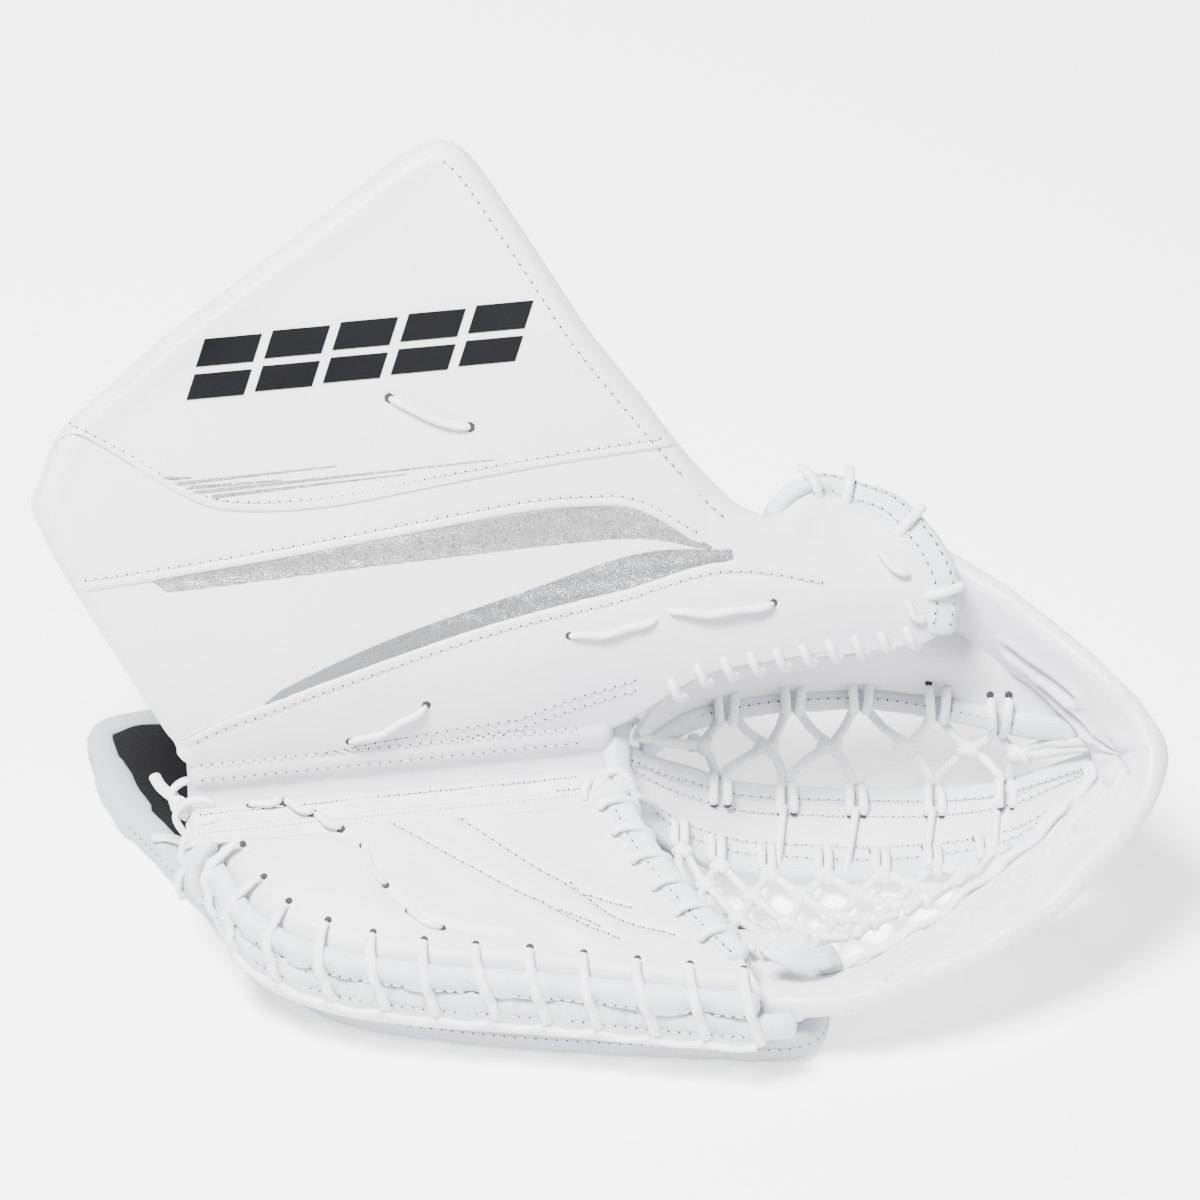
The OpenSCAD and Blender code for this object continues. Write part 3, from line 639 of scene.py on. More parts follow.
def cuff_layer(flat, top, low):
    """Closed layer between two heights over the cuff's face."""
    base, n = cuff_at(flat), cuff_normal(flat)
    top = np.broadcast_to(top, flat.shape[:2])[..., None]
    low = np.broadcast_to(low, flat.shape[:2])[..., None]
    return slab_between(base + n * top, base + n * low)


def cuff_face(flat):
    """Height of the cuff's leather: rolled rim, soft swell and a low ridge in from the rim."""
    d = line_distance(flat, CUFF_RIM)
    soft = 0.35 * ripple(flat, 70, 3) * ramp(4, 30, d)
    return rolled(d, CUFF_ROLL) + soft + 0.8 * bell(d - 9, 5)


def left_edge(s):
    """The cuff's left edge: its x at each height up the face."""
    side = CUFF_RIM[(CUFF_RIM[:, 0] < -100) & (CUFF_RIM[:, 1] > -10)]
    side = side[np.argsort(side[:, 1])]
    return np.interp(s, side[:, 1], side[:, 0])


def make_cuff():
    """The cuff's padded shell and the lining behind it."""
    flat = cuff_flat(steps(190, 0.5, 0.7), steps(90, 0.8, 0.8))
    top = cuff_face(flat)
    for k in range(7):          # faint pressed slants over the lower panel
        x = -128 + 19 * k
        top = top + groove(flat, [(x, 47 + 2 * k), (x + 26, 96)], 0.8, 0.25)
    d = line_distance(flat, CUFF_RIM)
    low = -(CUFF_T - 1.4) - rolled(d, 4.5)
    shell = build("cuff_shell", cuff_layer(flat, top, low), "leather", "thumb_side")
    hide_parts("cuff_lower_leather", "cuff_upper_leather", "cuff_edge_piping")
    inner = cuff_flat(np.linspace(0.02, 0.985, 90), np.linspace(0.04, 0.965, 50))
    puff = 0.9 * np.sin(inner[..., 0] / 17) * np.sin(inner[..., 1] / 15)
    back = cuff_layer(inner, -CUFF_T + 2, -CUFF_T - 0.3 + puff * 0.5)
    liner = build("cuff_rear_liner", back, "nylon", "thumb_side")
    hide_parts("cuff_liner")


def seam_panel(name, low, high, lift, edge_low, edge_high, fade):
    """Panel of leather laid over the shell, with a lip at the edges that show."""
    us = np.linspace(0, 1, PANEL_COLUMNS)
    a, b = along(low, us), along(high, us)
    vs = steps(26, 0.95, 0.95, 3.0)
    flat = a + (b - a) * vs[:, None, None]
    inset = left_edge(flat[:, :1, 1]) + 1.3 - flat[:, :1, 0]
    flat[..., 0] += inset * (1 - ramp(0, 0.2, us))
    d = line_distance(flat, CUFF_RIM)
    up = lift * ramp(0, 7, d)
    for edge, line in ((edge_low, a), (edge_high, b)):
        if edge:
            e = line_distance(flat, line)
            lip = np.sqrt(np.clip(1 - np.clip(1 - e / 1.3, 0, 1) ** 2, 0, 1))
            up = up * lip + 0.35 * bell(e - 2.2, 1.6) - 0.5 * bell(e - 4.4, 0.7)
    gone = ramp(fade[0], fade[1], flat[..., 0])
    top = cuff_face(flat) + up * (1 - gone) - 0.5 * gone
    return build(name, cuff_layer(flat, top, cuff_face(flat) - 1.6), "leather", "thumb_side")


def clip_line(points, x0, x1, n=PANEL_COLUMNS - 1):
    """Part of a seam between two values of x, as n + 1 even points."""
    fine = even(points, 500)
    return spaced(fine[(fine[:, 0] >= x0) & (fine[:, 0] <= x1)], n)


def cuff_path(flat, lift=0.0):
    """Path over the cuff's face at a given height, and its normals."""
    n = cuff_normal(flat)
    return cuff_at(flat) + n * lift, n


def face_path(flat, lift=0.0):
    """Path on the cuff's leather, a given height over its swell, and its normals."""
    n = cuff_normal(flat)
    return cuff_at(flat) + n * (cuff_face(flat) + lift)[:, None], n


def cuff_panels():
    """Three panels laid over the shell, with their seams and the rim's seam."""
    head = clip_line(HEAD_LINE, -232, 34)
    upper = clip_line(PANEL_SEAM, -229, 33)
    seam_panel("cuff_upper_panel", upper, head - [0, 1.5], UPPER_PANEL_T, True, False,
               (200, 201))
    middle = clip_line(MIDDLE_SEAM, -224, 52)
    over = np.vstack([upper[:-8] + [0, 2], clip_line(HEAD_LINE, 30, 57, 30) - [0, 1]])
    over = even(over, PANEL_COLUMNS - 1)
    seam_panel("cuff_middle_panel", middle, over, PANEL_T, True, False, (34, 52))
    lower = clip_line(LOWER_SEAM, -181, 128)
    foot = clip_line(FOOT_LINE, -178, 130) + [0, 2]
    seam_panel("cuff_lower_panel", foot, lower, PANEL_T, False, True, (70, 120))
    for line, off, lift in ((upper[3:-4], SEAM_INSET, UPPER_PANEL_T),
                            (middle[3:-6], SEAM_INSET, PANEL_T),
                            (lower[4:-14], -SEAM_INSET, PANEL_T)):
        path, n = face_path(line + [0, off], lift)
        stitches("thumb_side", path, n)
    rim = CUFF_RIM[(CUFF_RIM[:, 0] > -62) & (CUFF_RIM[:, 0] < 66) & (CUFF_RIM[:, 1] > 108)]
    e = unit(np.gradient(rim, axis=0))
    flat = rim + 9.5 * np.stack([e[:, 1], -e[:, 0]], axis=1)
    flat = flat[flat[:, 1] > 104]
    path, n = face_path(flat, np.where(flat[:, 0] < 33, 2.4, 0.5))
    run = lengths(path)
    at = np.linspace(0, run[-1], 120)
    stitches("thumb_side", read_at(path, run, at), unit(read_at(n, run, at)))


def inlay(name, rows, mat, node):
    """Wrinkled film between two lines on the cuff."""
    us = np.linspace(0, 1, 90)
    low, high = along(rows[0], us), along(rows[1], us)
    flat = low + (high - low) * np.linspace(0, 1, 8)[:, None, None]
    face = cuff_face(flat)
    wrinkle = 0.18 * ripple(flat, 6, 8)
    film = build(name, cuff_layer(flat, face + 0.55 + wrinkle, face - 0.4), mat, "thumb_side")
    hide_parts(node)


BAR_LENGTH, BAR_SLANT = 24, 0.33


def cuff_marks():
    """Ten slanted bars in two rows, and five fine fading lines."""
    bars = []
    us = np.linspace(0, 1, 12)
    for k in range(5):
        x, s = -176 + 28.5 * k, 176 + 0.9 * k
        for shift, drop, tall in ((1.0, 0, 10.5), (5.0, 13.5, 11.5)):
            a = np.stack([x + shift + us * BAR_LENGTH, np.full(12, s + drop)], axis=1)
            flat = a + np.array([tall * BAR_SLANT, tall]) * np.linspace(0, 1, 6)[:, None, None]
            face = cuff_face(flat) + UPPER_PANEL_T
            bars.append(cuff_layer(flat, face + 0.45, face - 0.6))
    mark = build("cuff_bars", bars, "mark", "thumb_side")
    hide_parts("cuff_mark")
    lines = []
    fades = [((-185, 144), (-173, 143.3)), ((-179, 141.2), (-112, 142.4)),
             ((-174, 139.1), (-135, 138.6)), ((-172, 136.8), (-46, 138.8)),
             ((-164.5, 134.4), (-83, 136.2))]
    for a, b in np.array(fades, float):
        t = np.linspace(0, 1, 30)[:, None]
        half = 0.75 * (1 - 0.7 * t) * [0, 1]
        flat = np.stack([a + (b - a) * t - half, a + (b - a) * t + half])
        face = cuff_face(flat) + UPPER_PANEL_T
        lines.append(cuff_layer(flat, face + 0.3, face - 0.5))
    build("cuff_fine_lines", lines, "silver", "thumb_side")


def tack_lace(a, b, n, lift=1.0, humps=2, r=LACE):
    """Stitch of lace lying on a face: a scalloped arc with pinched ends."""
    a, b, n = (np.asarray(x, float) for x in (a, b, n))
    t = np.linspace(0, 1, 40)[:, None]
    side = unit(np.cross(n, b - a))
    bow = np.sin(math.pi * t) * 2.0
    wave = 0.5 * np.sin(2 * math.pi * humps * t)
    path = a + (b - a) * t + n * (lift * np.sin(math.pi * t) ** 0.35) - side * bow \
        + side * wave
    path[0] -= n * 2.5
    path[-1] -= n * 2.5
    pinch = bell(t[:, 0], 0.06), bell(1 - t[:, 0], 0.06)
    thick = r * (1 - 0.3 * pinch[0] - 0.3 * pinch[1])
    return tube(path, thick, 0.8 * thick, None, 12, 2.2)


def cuff_laces():
    """Short laces through the cuff and board, and the double seams by the fold."""
    p, n = cuff_path(np.array([[-90.0, 169.0], [-56.0, 153.5]]), 2.4)
    made = build("cuff_top_lace", tack_lace(p[0], p[1], n[0], 1.3, 1, 1.9), "lace", "thumb_side")
    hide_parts("cuff_lace")
    holes("thumb_side", p, n, 2.6, -0.3)
    ends = [((-108, 22), (-75, 36)), ((-14, 61), (23, 65)), ((28, 67.5), (73, 66.5))]
    arcs = []
    for a, b in ends:
        p, n = cuff_path(np.array([a, b], float), 1.6)
        arcs.append(tack_lace(p[0], p[1], unit(n[0] + n[1]), 3.6 if a[0] > 0 else 2.0, 2, 2.0))
        holes("thumb_side", p, n, 2.4, -0.5)
    made = build("thumb_tack_laces", arcs, "lace", "thumb_side")
    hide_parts("thumb_tacks")
    for off in (0, 5):
        for line in ([(-136, 9), (-104, 14), (-69, 17), (-40, 19)],
                     [(-37, 19), (-12, 27), (14, 33)]):
            flat = even(line, 40) + [0, off]
            path, n = face_path(flat, 1.3)
            stitches("thumb_side", path, n)


def over_edge(p, out, up, on, rows):
    """Points of a lace over an edge at p: shares of outward, upward and onward steps."""
    return [p + a * out + b * up + c * on for a, b, c in rows]


def tape(path, half, thick, up, crumple, seed, power=3.2):
    """Folded woven tape over an edge: a squarish, slightly uneven section."""
    path = np.asarray(path, float)
    wob = (ripple(path, 16, seed) + 0.7 * ripple(path, 6, seed + 70)) * crumple
    path = path + wob[:, None] * 0.5 * unit(np.cross(np.gradient(path, axis=0), up))
    return tube(path, half + wob * 0.4, thick + wob * 0.5, up, 18, power)


def thumb_end():
    """Tape over the thumb's end, its stitching, and the lacing of the thumb's edges."""
    flat = np.vstack([[(74, 104), (82, 113), (95, 116), (112, 110), (126, 103)],
                      CUFF_END[1:-1:3], [(147, 43)]])
    p, n = cuff_path(even(flat, 70))
    across = unit(np.cross(n, np.gradient(p, axis=0)))
    share = np.linspace(0, 1, 71)
    wide = 5.0 + 4.5 * ramp(0.15, 0.5, share)
    deep = 4.2 + 7 * (1 - ramp(0, 0.14, share))[:, None]
    body = tube(p - n * deep - across * (wide - 5.5)[:, None] * 0.6, wide * 0.82, 6.4, n, 20, 2.8)
    made = build("thumb_end_tape", body, "tape", "thumb_side")
    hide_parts("thumb_binding")
    for off in (6.0, -1.5):
        stitches("thumb_side", (p - across * off + n * 2.6)[10:-4], n[10:-4])
    wraps = []
    for loop in ((88, 115), (104, 113), (131, 96), (146, 66)):
        q, m = cuff_path(np.array([loop], float))
        k = np.argmin(np.linalg.norm(p - q, axis=1))
        out = -across[k]
        on = unit(p[min(k + 1, 70)] - p[k - 1])
        rows = ((-9, 0.5, 0), (-5, 3.6, 1), (3, 3.8, 2), (8, -4, 3), (3, -12, 4))
        wraps.append(lace(over_edge(q[0], out, m[0], on, rows), 2.3, 1.9))
    for a, b in (((118, 84), (131, 73)), ((130, 62), (138, 53))):
        q, m = cuff_path(np.array([a, b], float), 1.8)
        wraps.append(tack_lace(q[0], q[1], m[0], 1.4, 1, 1.8))
    for k in range(10):
        x = 32 + 11.2 * k
        s = np.interp(x, [10, 26, 42, 58, 90, 148], [16, 26, 35, 38, 40, 44]) + 1.5
        q = cuff_at(np.array([[x, s]], float))[0]
        wraps.append(lace([q + [-3, -0.6, 7], q + [-1, -3.6, 3], q + [1, -3.2, -2],
                           q + [4, 1.5, -5]], 2.0))
    made = build("thumb_lacing", wraps, "lace", "thumb_side")
    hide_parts("thumb_edge_lacing")


# ------------------------------------------------------------------ break
def break_cover():
    """Rolled cover of the wrist's fold, in two halves that meet in the valley between folds."""
    x = np.linspace(-177, 5, 90)
    flat = lambda s: np.stack([x, np.full_like(x, s)], axis=1)
    bulge = 0.5 * ripple(flat(0), 25, 5)
    upper = fold_point(UPPER_FOLD, x)
    lower = fold_point(LOWER_FOLD, x)
    valley = (upper * 0.62 + lower * 0.38) - UP * 5.0
    rails = {
        "top": [cuff_path(flat(19), 0.4)[0], cuff_path(flat(14), 2.6)[0],
                cuff_path(flat(8), 3.2)[0], upper + [0, -2.8, 2.6], valley + [0, 1.2, 2.0],
                valley],
        "bottom": [valley, valley + [0, -0.8, 2.4], valley + [0, -3.6, 6.2],
                   lower + [0, 1.5, 4.2] + bulge[:, None] * UP, lower + [0, -3.6, 1.4],
                   lower + [0, -6.5, 2.2], palm_at(flat(12)) + PALM_UP * 0.4],
    }
    made = []
    for key, rows in rails.items():
        g = along(np.stack(rows[::-1]), np.linspace(0, 1, 34))
        n = grid_normals(g)
        end = np.minimum(x - x[0], x[-1] - x)
        face = g + n * rolled(end, 5.0)[None, :, None]
        made.append(build("break_roll_" + key, slab_between(face, g - n * 5.4), "leather"))
    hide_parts("break_strip")
    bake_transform(made[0])
    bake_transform(made[1])
    for s in (17.5, 10.5):
        path, n = cuff_path(flat(s)[3:-8], 3.6 if s < 15 else 1.9)
        stitches("thumb_side", path, n)
    stitches("palm_side", (palm_at(flat(7.5)) + PALM_UP * 2.5)[3:-8], PALM_UP)
    stitches("palm_side", (palm_at(flat(-1.5)) + PALM_UP * 4.4)[3:-8], PALM_UP)


def make_throat():
    """Tape and laces where the break, the palm and the web meet."""
    path = even([(13, -39, 57), (8.5, -33, 61.5), (6.5, -26, 64.5), (6, -17, 68), (7, -9, 71.5),
                 (11, -2, 75)], 40)
    up = unit(np.array([0.7, 0, 0.7]))
    body = tape(path, 6.0, 4.0, up, 0.3, 9)
    made = build("throat_tape", body, "tape", "web")
    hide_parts("throat_binding")
    runs = [[(-3, -8, 70), (0, -8, 73.5), (6, -9, 75.5), (12, -7, 75), (17, -6, 71)],
            [(-1, -36, 64), (2, -35, 67), (7, -34, 67.5), (12, -37, 64), (15, -42, 56)],
            [(14, -41, 60), (18, -38, 55), (22, -33, 48), (24, -28, 42)]]
    build("throat_laces", [lace(run, 2.0, 1.6) for run in runs], "lace", "web")


# ------------------------------------------------------------------ palm
PALM_RIM = np.vstack([even(PALM_FRONT, 160)[::-1], [(-164, 8)], [(-167, 1)]])
PALM_LINES = [[(-63, 9), (-41, 31), (-17, 53), (-1, 65), (12, 71)],
              [(-92, 9), (-70, 28), (-46, 47), (-26, 63), (-1, 80)],
              [(-13, 54), (4, 75), (30, 88)],
              [(-22, 66), (-8, 78), (7, 87)]]


HEEL_CREASE = [(-155, 19), (-137, 11), (-119, 13), (-104, 21), (-95, 40), (-84, 58), (-66, 70),
               (-40, 80)]


def palm_height(flat):
    """Height of the palm's leather: rolled rim, heel and middle swell, creases."""
    d = line_distance(flat, PALM_RIM)
    heel = HEEL_SWELL * mound(flat, (-112, 42), (44, 30))
    mid = FINGER_SWELL * mound(flat, (-20, 80), (40, 22))
    h = rolled(d, PALM_ROLL) + (heel + mid) * ramp(0, 22, d) + 0.3 * ripple(flat, 34, 4)
    h = h - CREASE_DEPTH * bell(line_distance(flat, even(HEEL_CREASE, 60)), CREASE_WIDTH)
    for line in PALM_LINES:
        e = line_distance(flat, even(line, 40))
        h = h - 1.1 * bell(e, 1.3) + 0.5 * bell(e - 5, 3.5)
    return h


def make_palm():
    """The palm's padded shell, its lining, seams and tack laces."""
    us = steps(170, 0.6, 0.3)
    vs = steps(90, 0.85, 0.2)
    a, b = along(PALM_FRONT, us), along(PALM_BACK, us)
    flat = a + (b - a) * vs[:, None, None]
    top = palm_at(flat) + PALM_UP * palm_height(flat)[..., None]
    low = palm_at(flat) - PALM_UP * (PALM_T + 1.0)
    shell = build("palm_shell", slab_between(top, low), "leather", "palm_side")
    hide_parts("palm_leather", "palm_foam")
    lin = slab_between(palm_at(flat[4:-4:3, 4:-4:3]) - PALM_UP * (PALM_T + 0.9),
                       palm_at(flat[4:-4:3, 4:-4:3]) - PALM_UP * (PALM_T + 1.6))
    liner = build("palm_inner_liner", lin, "nylon", "palm_side")
    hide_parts("palm_liner")
    for line in PALM_LINES:
        flat = even(line, 50)
        lifted = palm_height(flat)[:, None] + 0.85
        stitches("palm_side", palm_at(flat) + PALM_UP * lifted, PALM_UP)
    knots = [((-150, -4), (-137, -5)), ((-135, -4), (-123, 3)), ((-122, 4), (-111, 12)),
             ((-101, 23), (-91, 47)), ((-81, 61), (-67, 71))]
    laces = []
    for a, b in knots:
        f = np.array([a, b], float)
        near_break = 3.4 * (1 - ramp(0, 7, f[:, 1]))
        p = palm_at(f) + PALM_UP * (palm_height(f) + 1.0 + near_break)[:, None]
        laces.append(tack_lace(p[0], p[1], PALM_UP, 1.2, 1, 1.7))
        holes("palm_side", p, [PALM_UP, PALM_UP], 2.3, -0.7)
    made = build("palm_tack_laces", laces, "lace", "palm_side")
    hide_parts("palm_tacks")


FRONT = even(np.c_[palm_at(np.array(PALM_FRONT, float))], 160)
FRONT_OUT = unit(np.cross(np.gradient(FRONT, axis=0) * [1, 1, 0], [0, 0, 1.0]))


def front_path(out, drop):
    """The palm's front edge moved outwards and down."""
    return FRONT + FRONT_OUT * out + [0, 0, -drop]


WRAP_TOP = [(-8, 1, 0), (-5.5, 3.2, 0), (0, 1, 1)]
WRAP_FALL = [(6, -0.5, 3), (10.8, -6, 5), (10, -12, 7), (11, -17, 8.5), (8.4, -23.5, 10),
             (4.5, -25, 10.5)]


def palm_edges():
    """The palm's front edge: two tapes, the wall between them, and the lace over them."""
    first = tape(front_path(4.4, 6.2), 4.6, 5.6, UP, 0.8, 11, 2.8)
    made = build("palm_edge_tape", first, "tape", "palm_side")
    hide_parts("palm_edge_binding")
    low = front_path(5.2, 17.0)
    past = np.arange(1, 8)[:, None]
    low = np.vstack([low, low[-1] + unit(low[-1] - low[-2]) * 2.2 * past
                     + np.array([0, 0.12, -0.03]) * past ** 2])
    second = tape(low, 4.4, 5.4, UP, 0.8, 12, 2.8)
    made = build("side_edge_tape", second, "tape", "palm_side")
    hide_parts("side_edge_binding")
    for out, drop in ((9.3, 8.6), (9.8, 19.6)):
        path = front_path(out, drop)
        stitches("palm_side", path[3:-4], unit(FRONT_OUT + [0, 0, 0.25])[3:-4])
    wall = front_path(1.0, 0)
    tall = 0.5 * (wall[:, 2] - 22 - 14.6) + 2.4
    wall[:, 2] = 0.5 * (14.6 + wall[:, 2] - 22)
    body = tube(wall, 4.2, np.maximum(tall, 3.5), UP, 18, 2.4)
    made = build("side_gusset_strip", body, "leather", "palm_side")
    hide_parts("side_gusset")
    wraps, feet = [], []
    for at in even(PALM_FRONT, 220)[4:214:19]:
        p = palm_at(at[None])[0]
        k = int(np.argmin(np.linalg.norm(FRONT - p, axis=1)))
        o = FRONT_OUT[k]
        on = np.array([-o[1], o[0], 0])
        lean = 1.0 + 0.15 * math.sin(0.1 * at[0])
        rows = WRAP_TOP + [(a, b, c * lean) for a, b, c in WRAP_FALL]
        wraps.append(lace(over_edge(p, o, UP, on, rows), 2.1, 1.4, 44, 12))
        feet.append(k)
        f = (at - 9.6 * np.array([o[0], -o[1]]))[None]
        c = palm_at(f) + PALM_UP * palm_height(f)[:, None]
        holes("palm_side", c, [PALM_UP], 1.9, 0.3)
    low = front_path(10.6, 22.5)
    for a, b in zip(feet[1:-1], feet[2:]):
        run = low[a + 5:b + 6]
        sag = np.sin(math.pi * np.linspace(0, 1, len(run)))[:, None]
        wraps.append(lace(run - [0, 0, 1.0] + sag * [0, -0.6, -1.6], 1.6, 1.3, 30))
    made = build("edge_wraps", wraps, "lace", "palm_side")
    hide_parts("edge_lacing")


def pocket_edge():
    """Folded tapes and lace wraps along the palm's edge by the pocket."""
    flat = even(PALM_BACK, 120, 0.47, 1.0)
    p = palm_at(flat)
    t = unit(np.gradient(p, axis=0))
    out = unit(np.cross(PALM_UP, t)) * -1
    body = tape((p - out * 1.0)[::-1] + [0, 0, -1.6], 6.0, 4.0, PALM_UP, 0.35, 21, 3.0)
    body2 = tape((p - out * 3.2)[::-1] + [0, 0, -8.5], 4.6, 4.0, PALM_UP, 0.5, 22, 3.0)
    made = build("pocket_edge_tape", [body, body2], "tape", "palm_side")
    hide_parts("pocket_binding")
    stitches("palm_side", (p + out * 2.6 + PALM_UP * 2.5)[4:-4], PALM_UP)
    wraps = []
    for k in range(14, 118, 15):
        rows = ((-9, 0.8, 0), (-5, 3.4, 0), (2, 3.2, 2), (8, -2, 4), (8, -9, 6))
        wraps.append(lace(over_edge(p[k], -out[k], PALM_UP, t[k], rows), 2.0, 1.5))
    build("pocket_edge_wraps", wraps, "lace", "palm_side")


# ------------------------------------------------------------------ backhand
def sheet_on_outline(line, tops, lows):
    """Closed flat sheet: rings from its outline in to its middle, with a top and a low height."""
    c = np.array([-62.0, -36.0])
    s = np.linspace(1, 0.0, 16)[:, None, None]
    ring_xy = c + (line - c) * np.maximum(s, 0.002)
    loop = np.concatenate([ring_xy, ring_xy[:, :1]], axis=1)
    z = lambda f: np.broadcast_to(f(loop), loop.shape[:2])[..., None]
    top = np.concatenate([loop, z(tops)], axis=2)
    low = np.concatenate([loop, z(lows)], axis=2)
    n = top.shape[1] - 1
    rows = top.shape[0]
    verts = np.concatenate([top[:, :-1].reshape(-1, 3), low[:, :-1].reshape(-1, 3)])
    faces = []
    under = rows * n
    for j, i in np.ndindex(rows - 1, n):
        a, b = j * n + i, j * n + (i + 1) % n
        faces += [[a, a + n, b + n, b], [a + under, b + under, b + n + under, a + n + under]]
    last = (rows - 1) * n
    faces.append([last + i for i in range(n)][::-1])
    faces.append([last + under + i for i in range(n)])
    faces += [[i, (i + 1) % n, (i + 1) % n + under, i + under] for i in range(n)]
    flat = verts[:, :2] / 10
    return part(verts, faces, np.array([flat[k] for f in faces for k in f]))


PAD_EDGE = closed_curve(BACKHAND, 260)


def make_backhand():
    """Cover, quilted lining and folded tape of the backhand pad."""
    cover = sheet_on_outline(PAD_EDGE, lambda g: 2.2, lambda g: 0.0)
    made = build("backhand_skin", cover, "leather", "palm_side")
    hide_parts("backhand_cover")
    quilt = lambda g: 13.6 + 0.5 * np.sin(g[..., 0] / 9.0) * np.sin(g[..., 1] / 9.0) \
        + 0.25 * ripple(g, 22, 6)
    top = sheet_on_outline(PAD_EDGE, quilt, lambda g: 12.7)
    made = build("backhand_lining", top, "nylon", "palm_side")
    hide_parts("backhand_liner")
    e = np.gradient(np.vstack([PAD_EDGE[-1], PAD_EDGE, PAD_EDGE[0]]), axis=0)[1:-1]
    out = unit(np.stack([-e[:, 1], e[:, 0]], axis=1))
    path = np.c_[PAD_EDGE - out * 1.0, np.full(len(PAD_EDGE), 7.6)]
    run = lengths(path)
    ribs = 0.22 * np.sin(run / 3.1) + 0.25 * ripple(path, 20, 7)
    join = run[np.argmin(np.linalg.norm(PAD_EDGE - [-204, 0], axis=1))]
    step = 1.3 * ramp(0, 1.5, run - join) * (1 - ramp(40, 44, run - join))
    body = tube(path, 6.4 + ribs + step, 7.3 + 0.3 * ribs + 0.5 * step, (0, 0, 1), 20, 3.6,
                closed=True)
    # darker lavender copy of the tape material: painted shade on the binding by the floor
    made = build("backhand_tape", body, "backtape_painted_shade", "palm_side")
    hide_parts("backhand_binding")
    rim = np.c_[PAD_EDGE + out * 5.5, np.full(len(PAD_EDGE), 9.5)]
    n = np.c_[out, np.zeros(len(out))]
    for a, b in ((0, 120), (120, 260)):
        stitches("palm_side", rim[a:b], n[a:b])


def make_heel():
    """Crossing laces and a length of tape at the heel, over the pad."""
    runs = [
        ([(-169, -40, 65), (-172, -40, 67.6), (-180, -41, 67), (-184.5, -43, 62),
          (-182, -47, 56), (-177, -50, 54)], 1.9, 1.6),
        ([(-165, -52, 63), (-170, -52, 66.5), (-178, -52.5, 65), (-182, -54, 59),
          (-179, -57, 53), (-174, -58, 50)], 1.9, 1.6),
        ([(-162, -59, 61.5), (-168, -61, 62.5), (-176, -62.5, 57), (-179, -64.5, 49),
          (-176, -66, 42), (-171, -66, 36)], 1.9, 1.6),
        ([(-183, -43, 60), (-187, -36, 57), (-191, -29, 55.5), (-194, -23, 56.5)], 2.7, 1.8),
        ([(-198, -18.4, 16.2), (-190, -20, 17.5), (-183, -25, 19), (-178, -38, 24),
          (-174, -52, 30)], 2.0, 1.7),
        ([(-172, -33, 17), (-178, -36.5, 16.8), (-183, -39.8, 14.6), (-184.6, -41, 9),
          (-184, -40.5, 4), (-177, -36, 1.6)], 2.0, 1.5),
    ]
    laces = [lace(*run) for run in runs]
    for c in ((-180, -49, 60), (-177, -63, 44)):
        laces += knot(np.array(c, float), unit(np.array([-0.8, -0.5, 0.3])), 3.8)
    made = build("heel_laces", laces, "lace", "palm_side")
    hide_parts("heel_lacing")
    ends = tape(even([(-166, -70, 60), (-171, -72, 50), (-172, -72, 38), (-168, -70, 26)], 30),
                4.2, 5.0, np.array([-0.7, -0.7, 0.1]), 0.4, 31)
    build("heel_tape", ends, "tape", "palm_side")


def knot(c, n, r):
    """Chunky knot: two turns of lace crossing over each other."""
    made = []
    a = unit(np.cross(n, [0.2, 0.3, 0.9]))
    b = np.cross(n, a)
    q = np.linspace(0, 2 * math.pi, 18, endpoint=False)[:, None]
    for turn in (0.5, -0.55):
        u = a * math.cos(turn) + b * math.sin(turn)
        v = n * 0.8
        made.append(tube(c + 0.62 * r * np.cos(q) * u * 1.35 + 0.55 * r * np.sin(q) * v,
                         0.72 * r, 0.62 * r, None, 10, closed=True))
    return made


# ------------------------------------------------------------------ stalls inside
def hollow(name, start, end, r, wall, body, node):
    """Thin-walled stall with a round closed tip and a wavy open end."""
    start, end = np.array(start, float), np.array(end, float)
    axis = unit(end - start)
    a = unit(np.cross(axis, [0, 0, 1.0]))
    b = np.cross(axis, a)
    run = np.linalg.norm(end - start)
    q = np.linspace(0, math.pi / 2, 9)
    outer = [(r, 0.0), (r * 1.02, run * 0.3), (r * 0.98, run * 0.65)] \
        + [(r * math.cos(t) + 0.02, run + r * math.sin(t)) for t in q]
    ri = r - wall
    inner = [(ri * math.cos(t) + 0.02, run + ri * math.sin(t)) for t in q[::-1]] \
        + [(ri, run * 0.65), (ri, run * 0.3), (ri, 0.0)]
    prof = np.array(outer + inner)
    m, k = len(prof), 28
    ang = np.linspace(0, 2 * math.pi, k, endpoint=False)
    wave = 1 + 0.03 * np.sin(3 * ang) + 0.02 * np.sin(5 * ang + 1)
    v = start + axis * prof[:, 1, None, None] \
        + prof[:, 0, None, None] * wave[:, None] * (np.cos(ang)[:, None] * a
                                                    + np.sin(ang)[:, None] * b)
    faces, uvs = [], []
    for j, i in np.ndindex(m, k):
        corners = ((j, i), (j, i + 1), (j + 1, i + 1), (j + 1, i))
        faces.append([row % m * k + col % k for row, col in corners])
        uvs += [(col * r * 0.0224, prof[row % m][1] / 10) for row, col in corners]
    made = build(name, part(v.reshape(-1, 3), faces, np.array(uvs)), "nylon", body)
    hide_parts(node)


def make_stalls():
    """Four finger sleeves and the thumb sleeve."""
    rows = [("index", (-50, -60, 33), (6, -62, 31), 9),
            ("middle", (-50, -80, 31), (20, -83, 28.5), 9),
            ("ring", (-50, -99, 28.5), (34, -104, 26.5), 9),
            ("little", (-46, -117.5, 26), (40, -124, 25), 8.2)]
    for name, start, end, r in rows:
        hollow(name + "_sleeve", start, end, r, 1.2, "palm_side", name + "_stall")
    hollow("thumb_sleeve", (40, 30, 100), (104, 43, 118), 14, 1.4, "thumb_side", "thumb_stall")


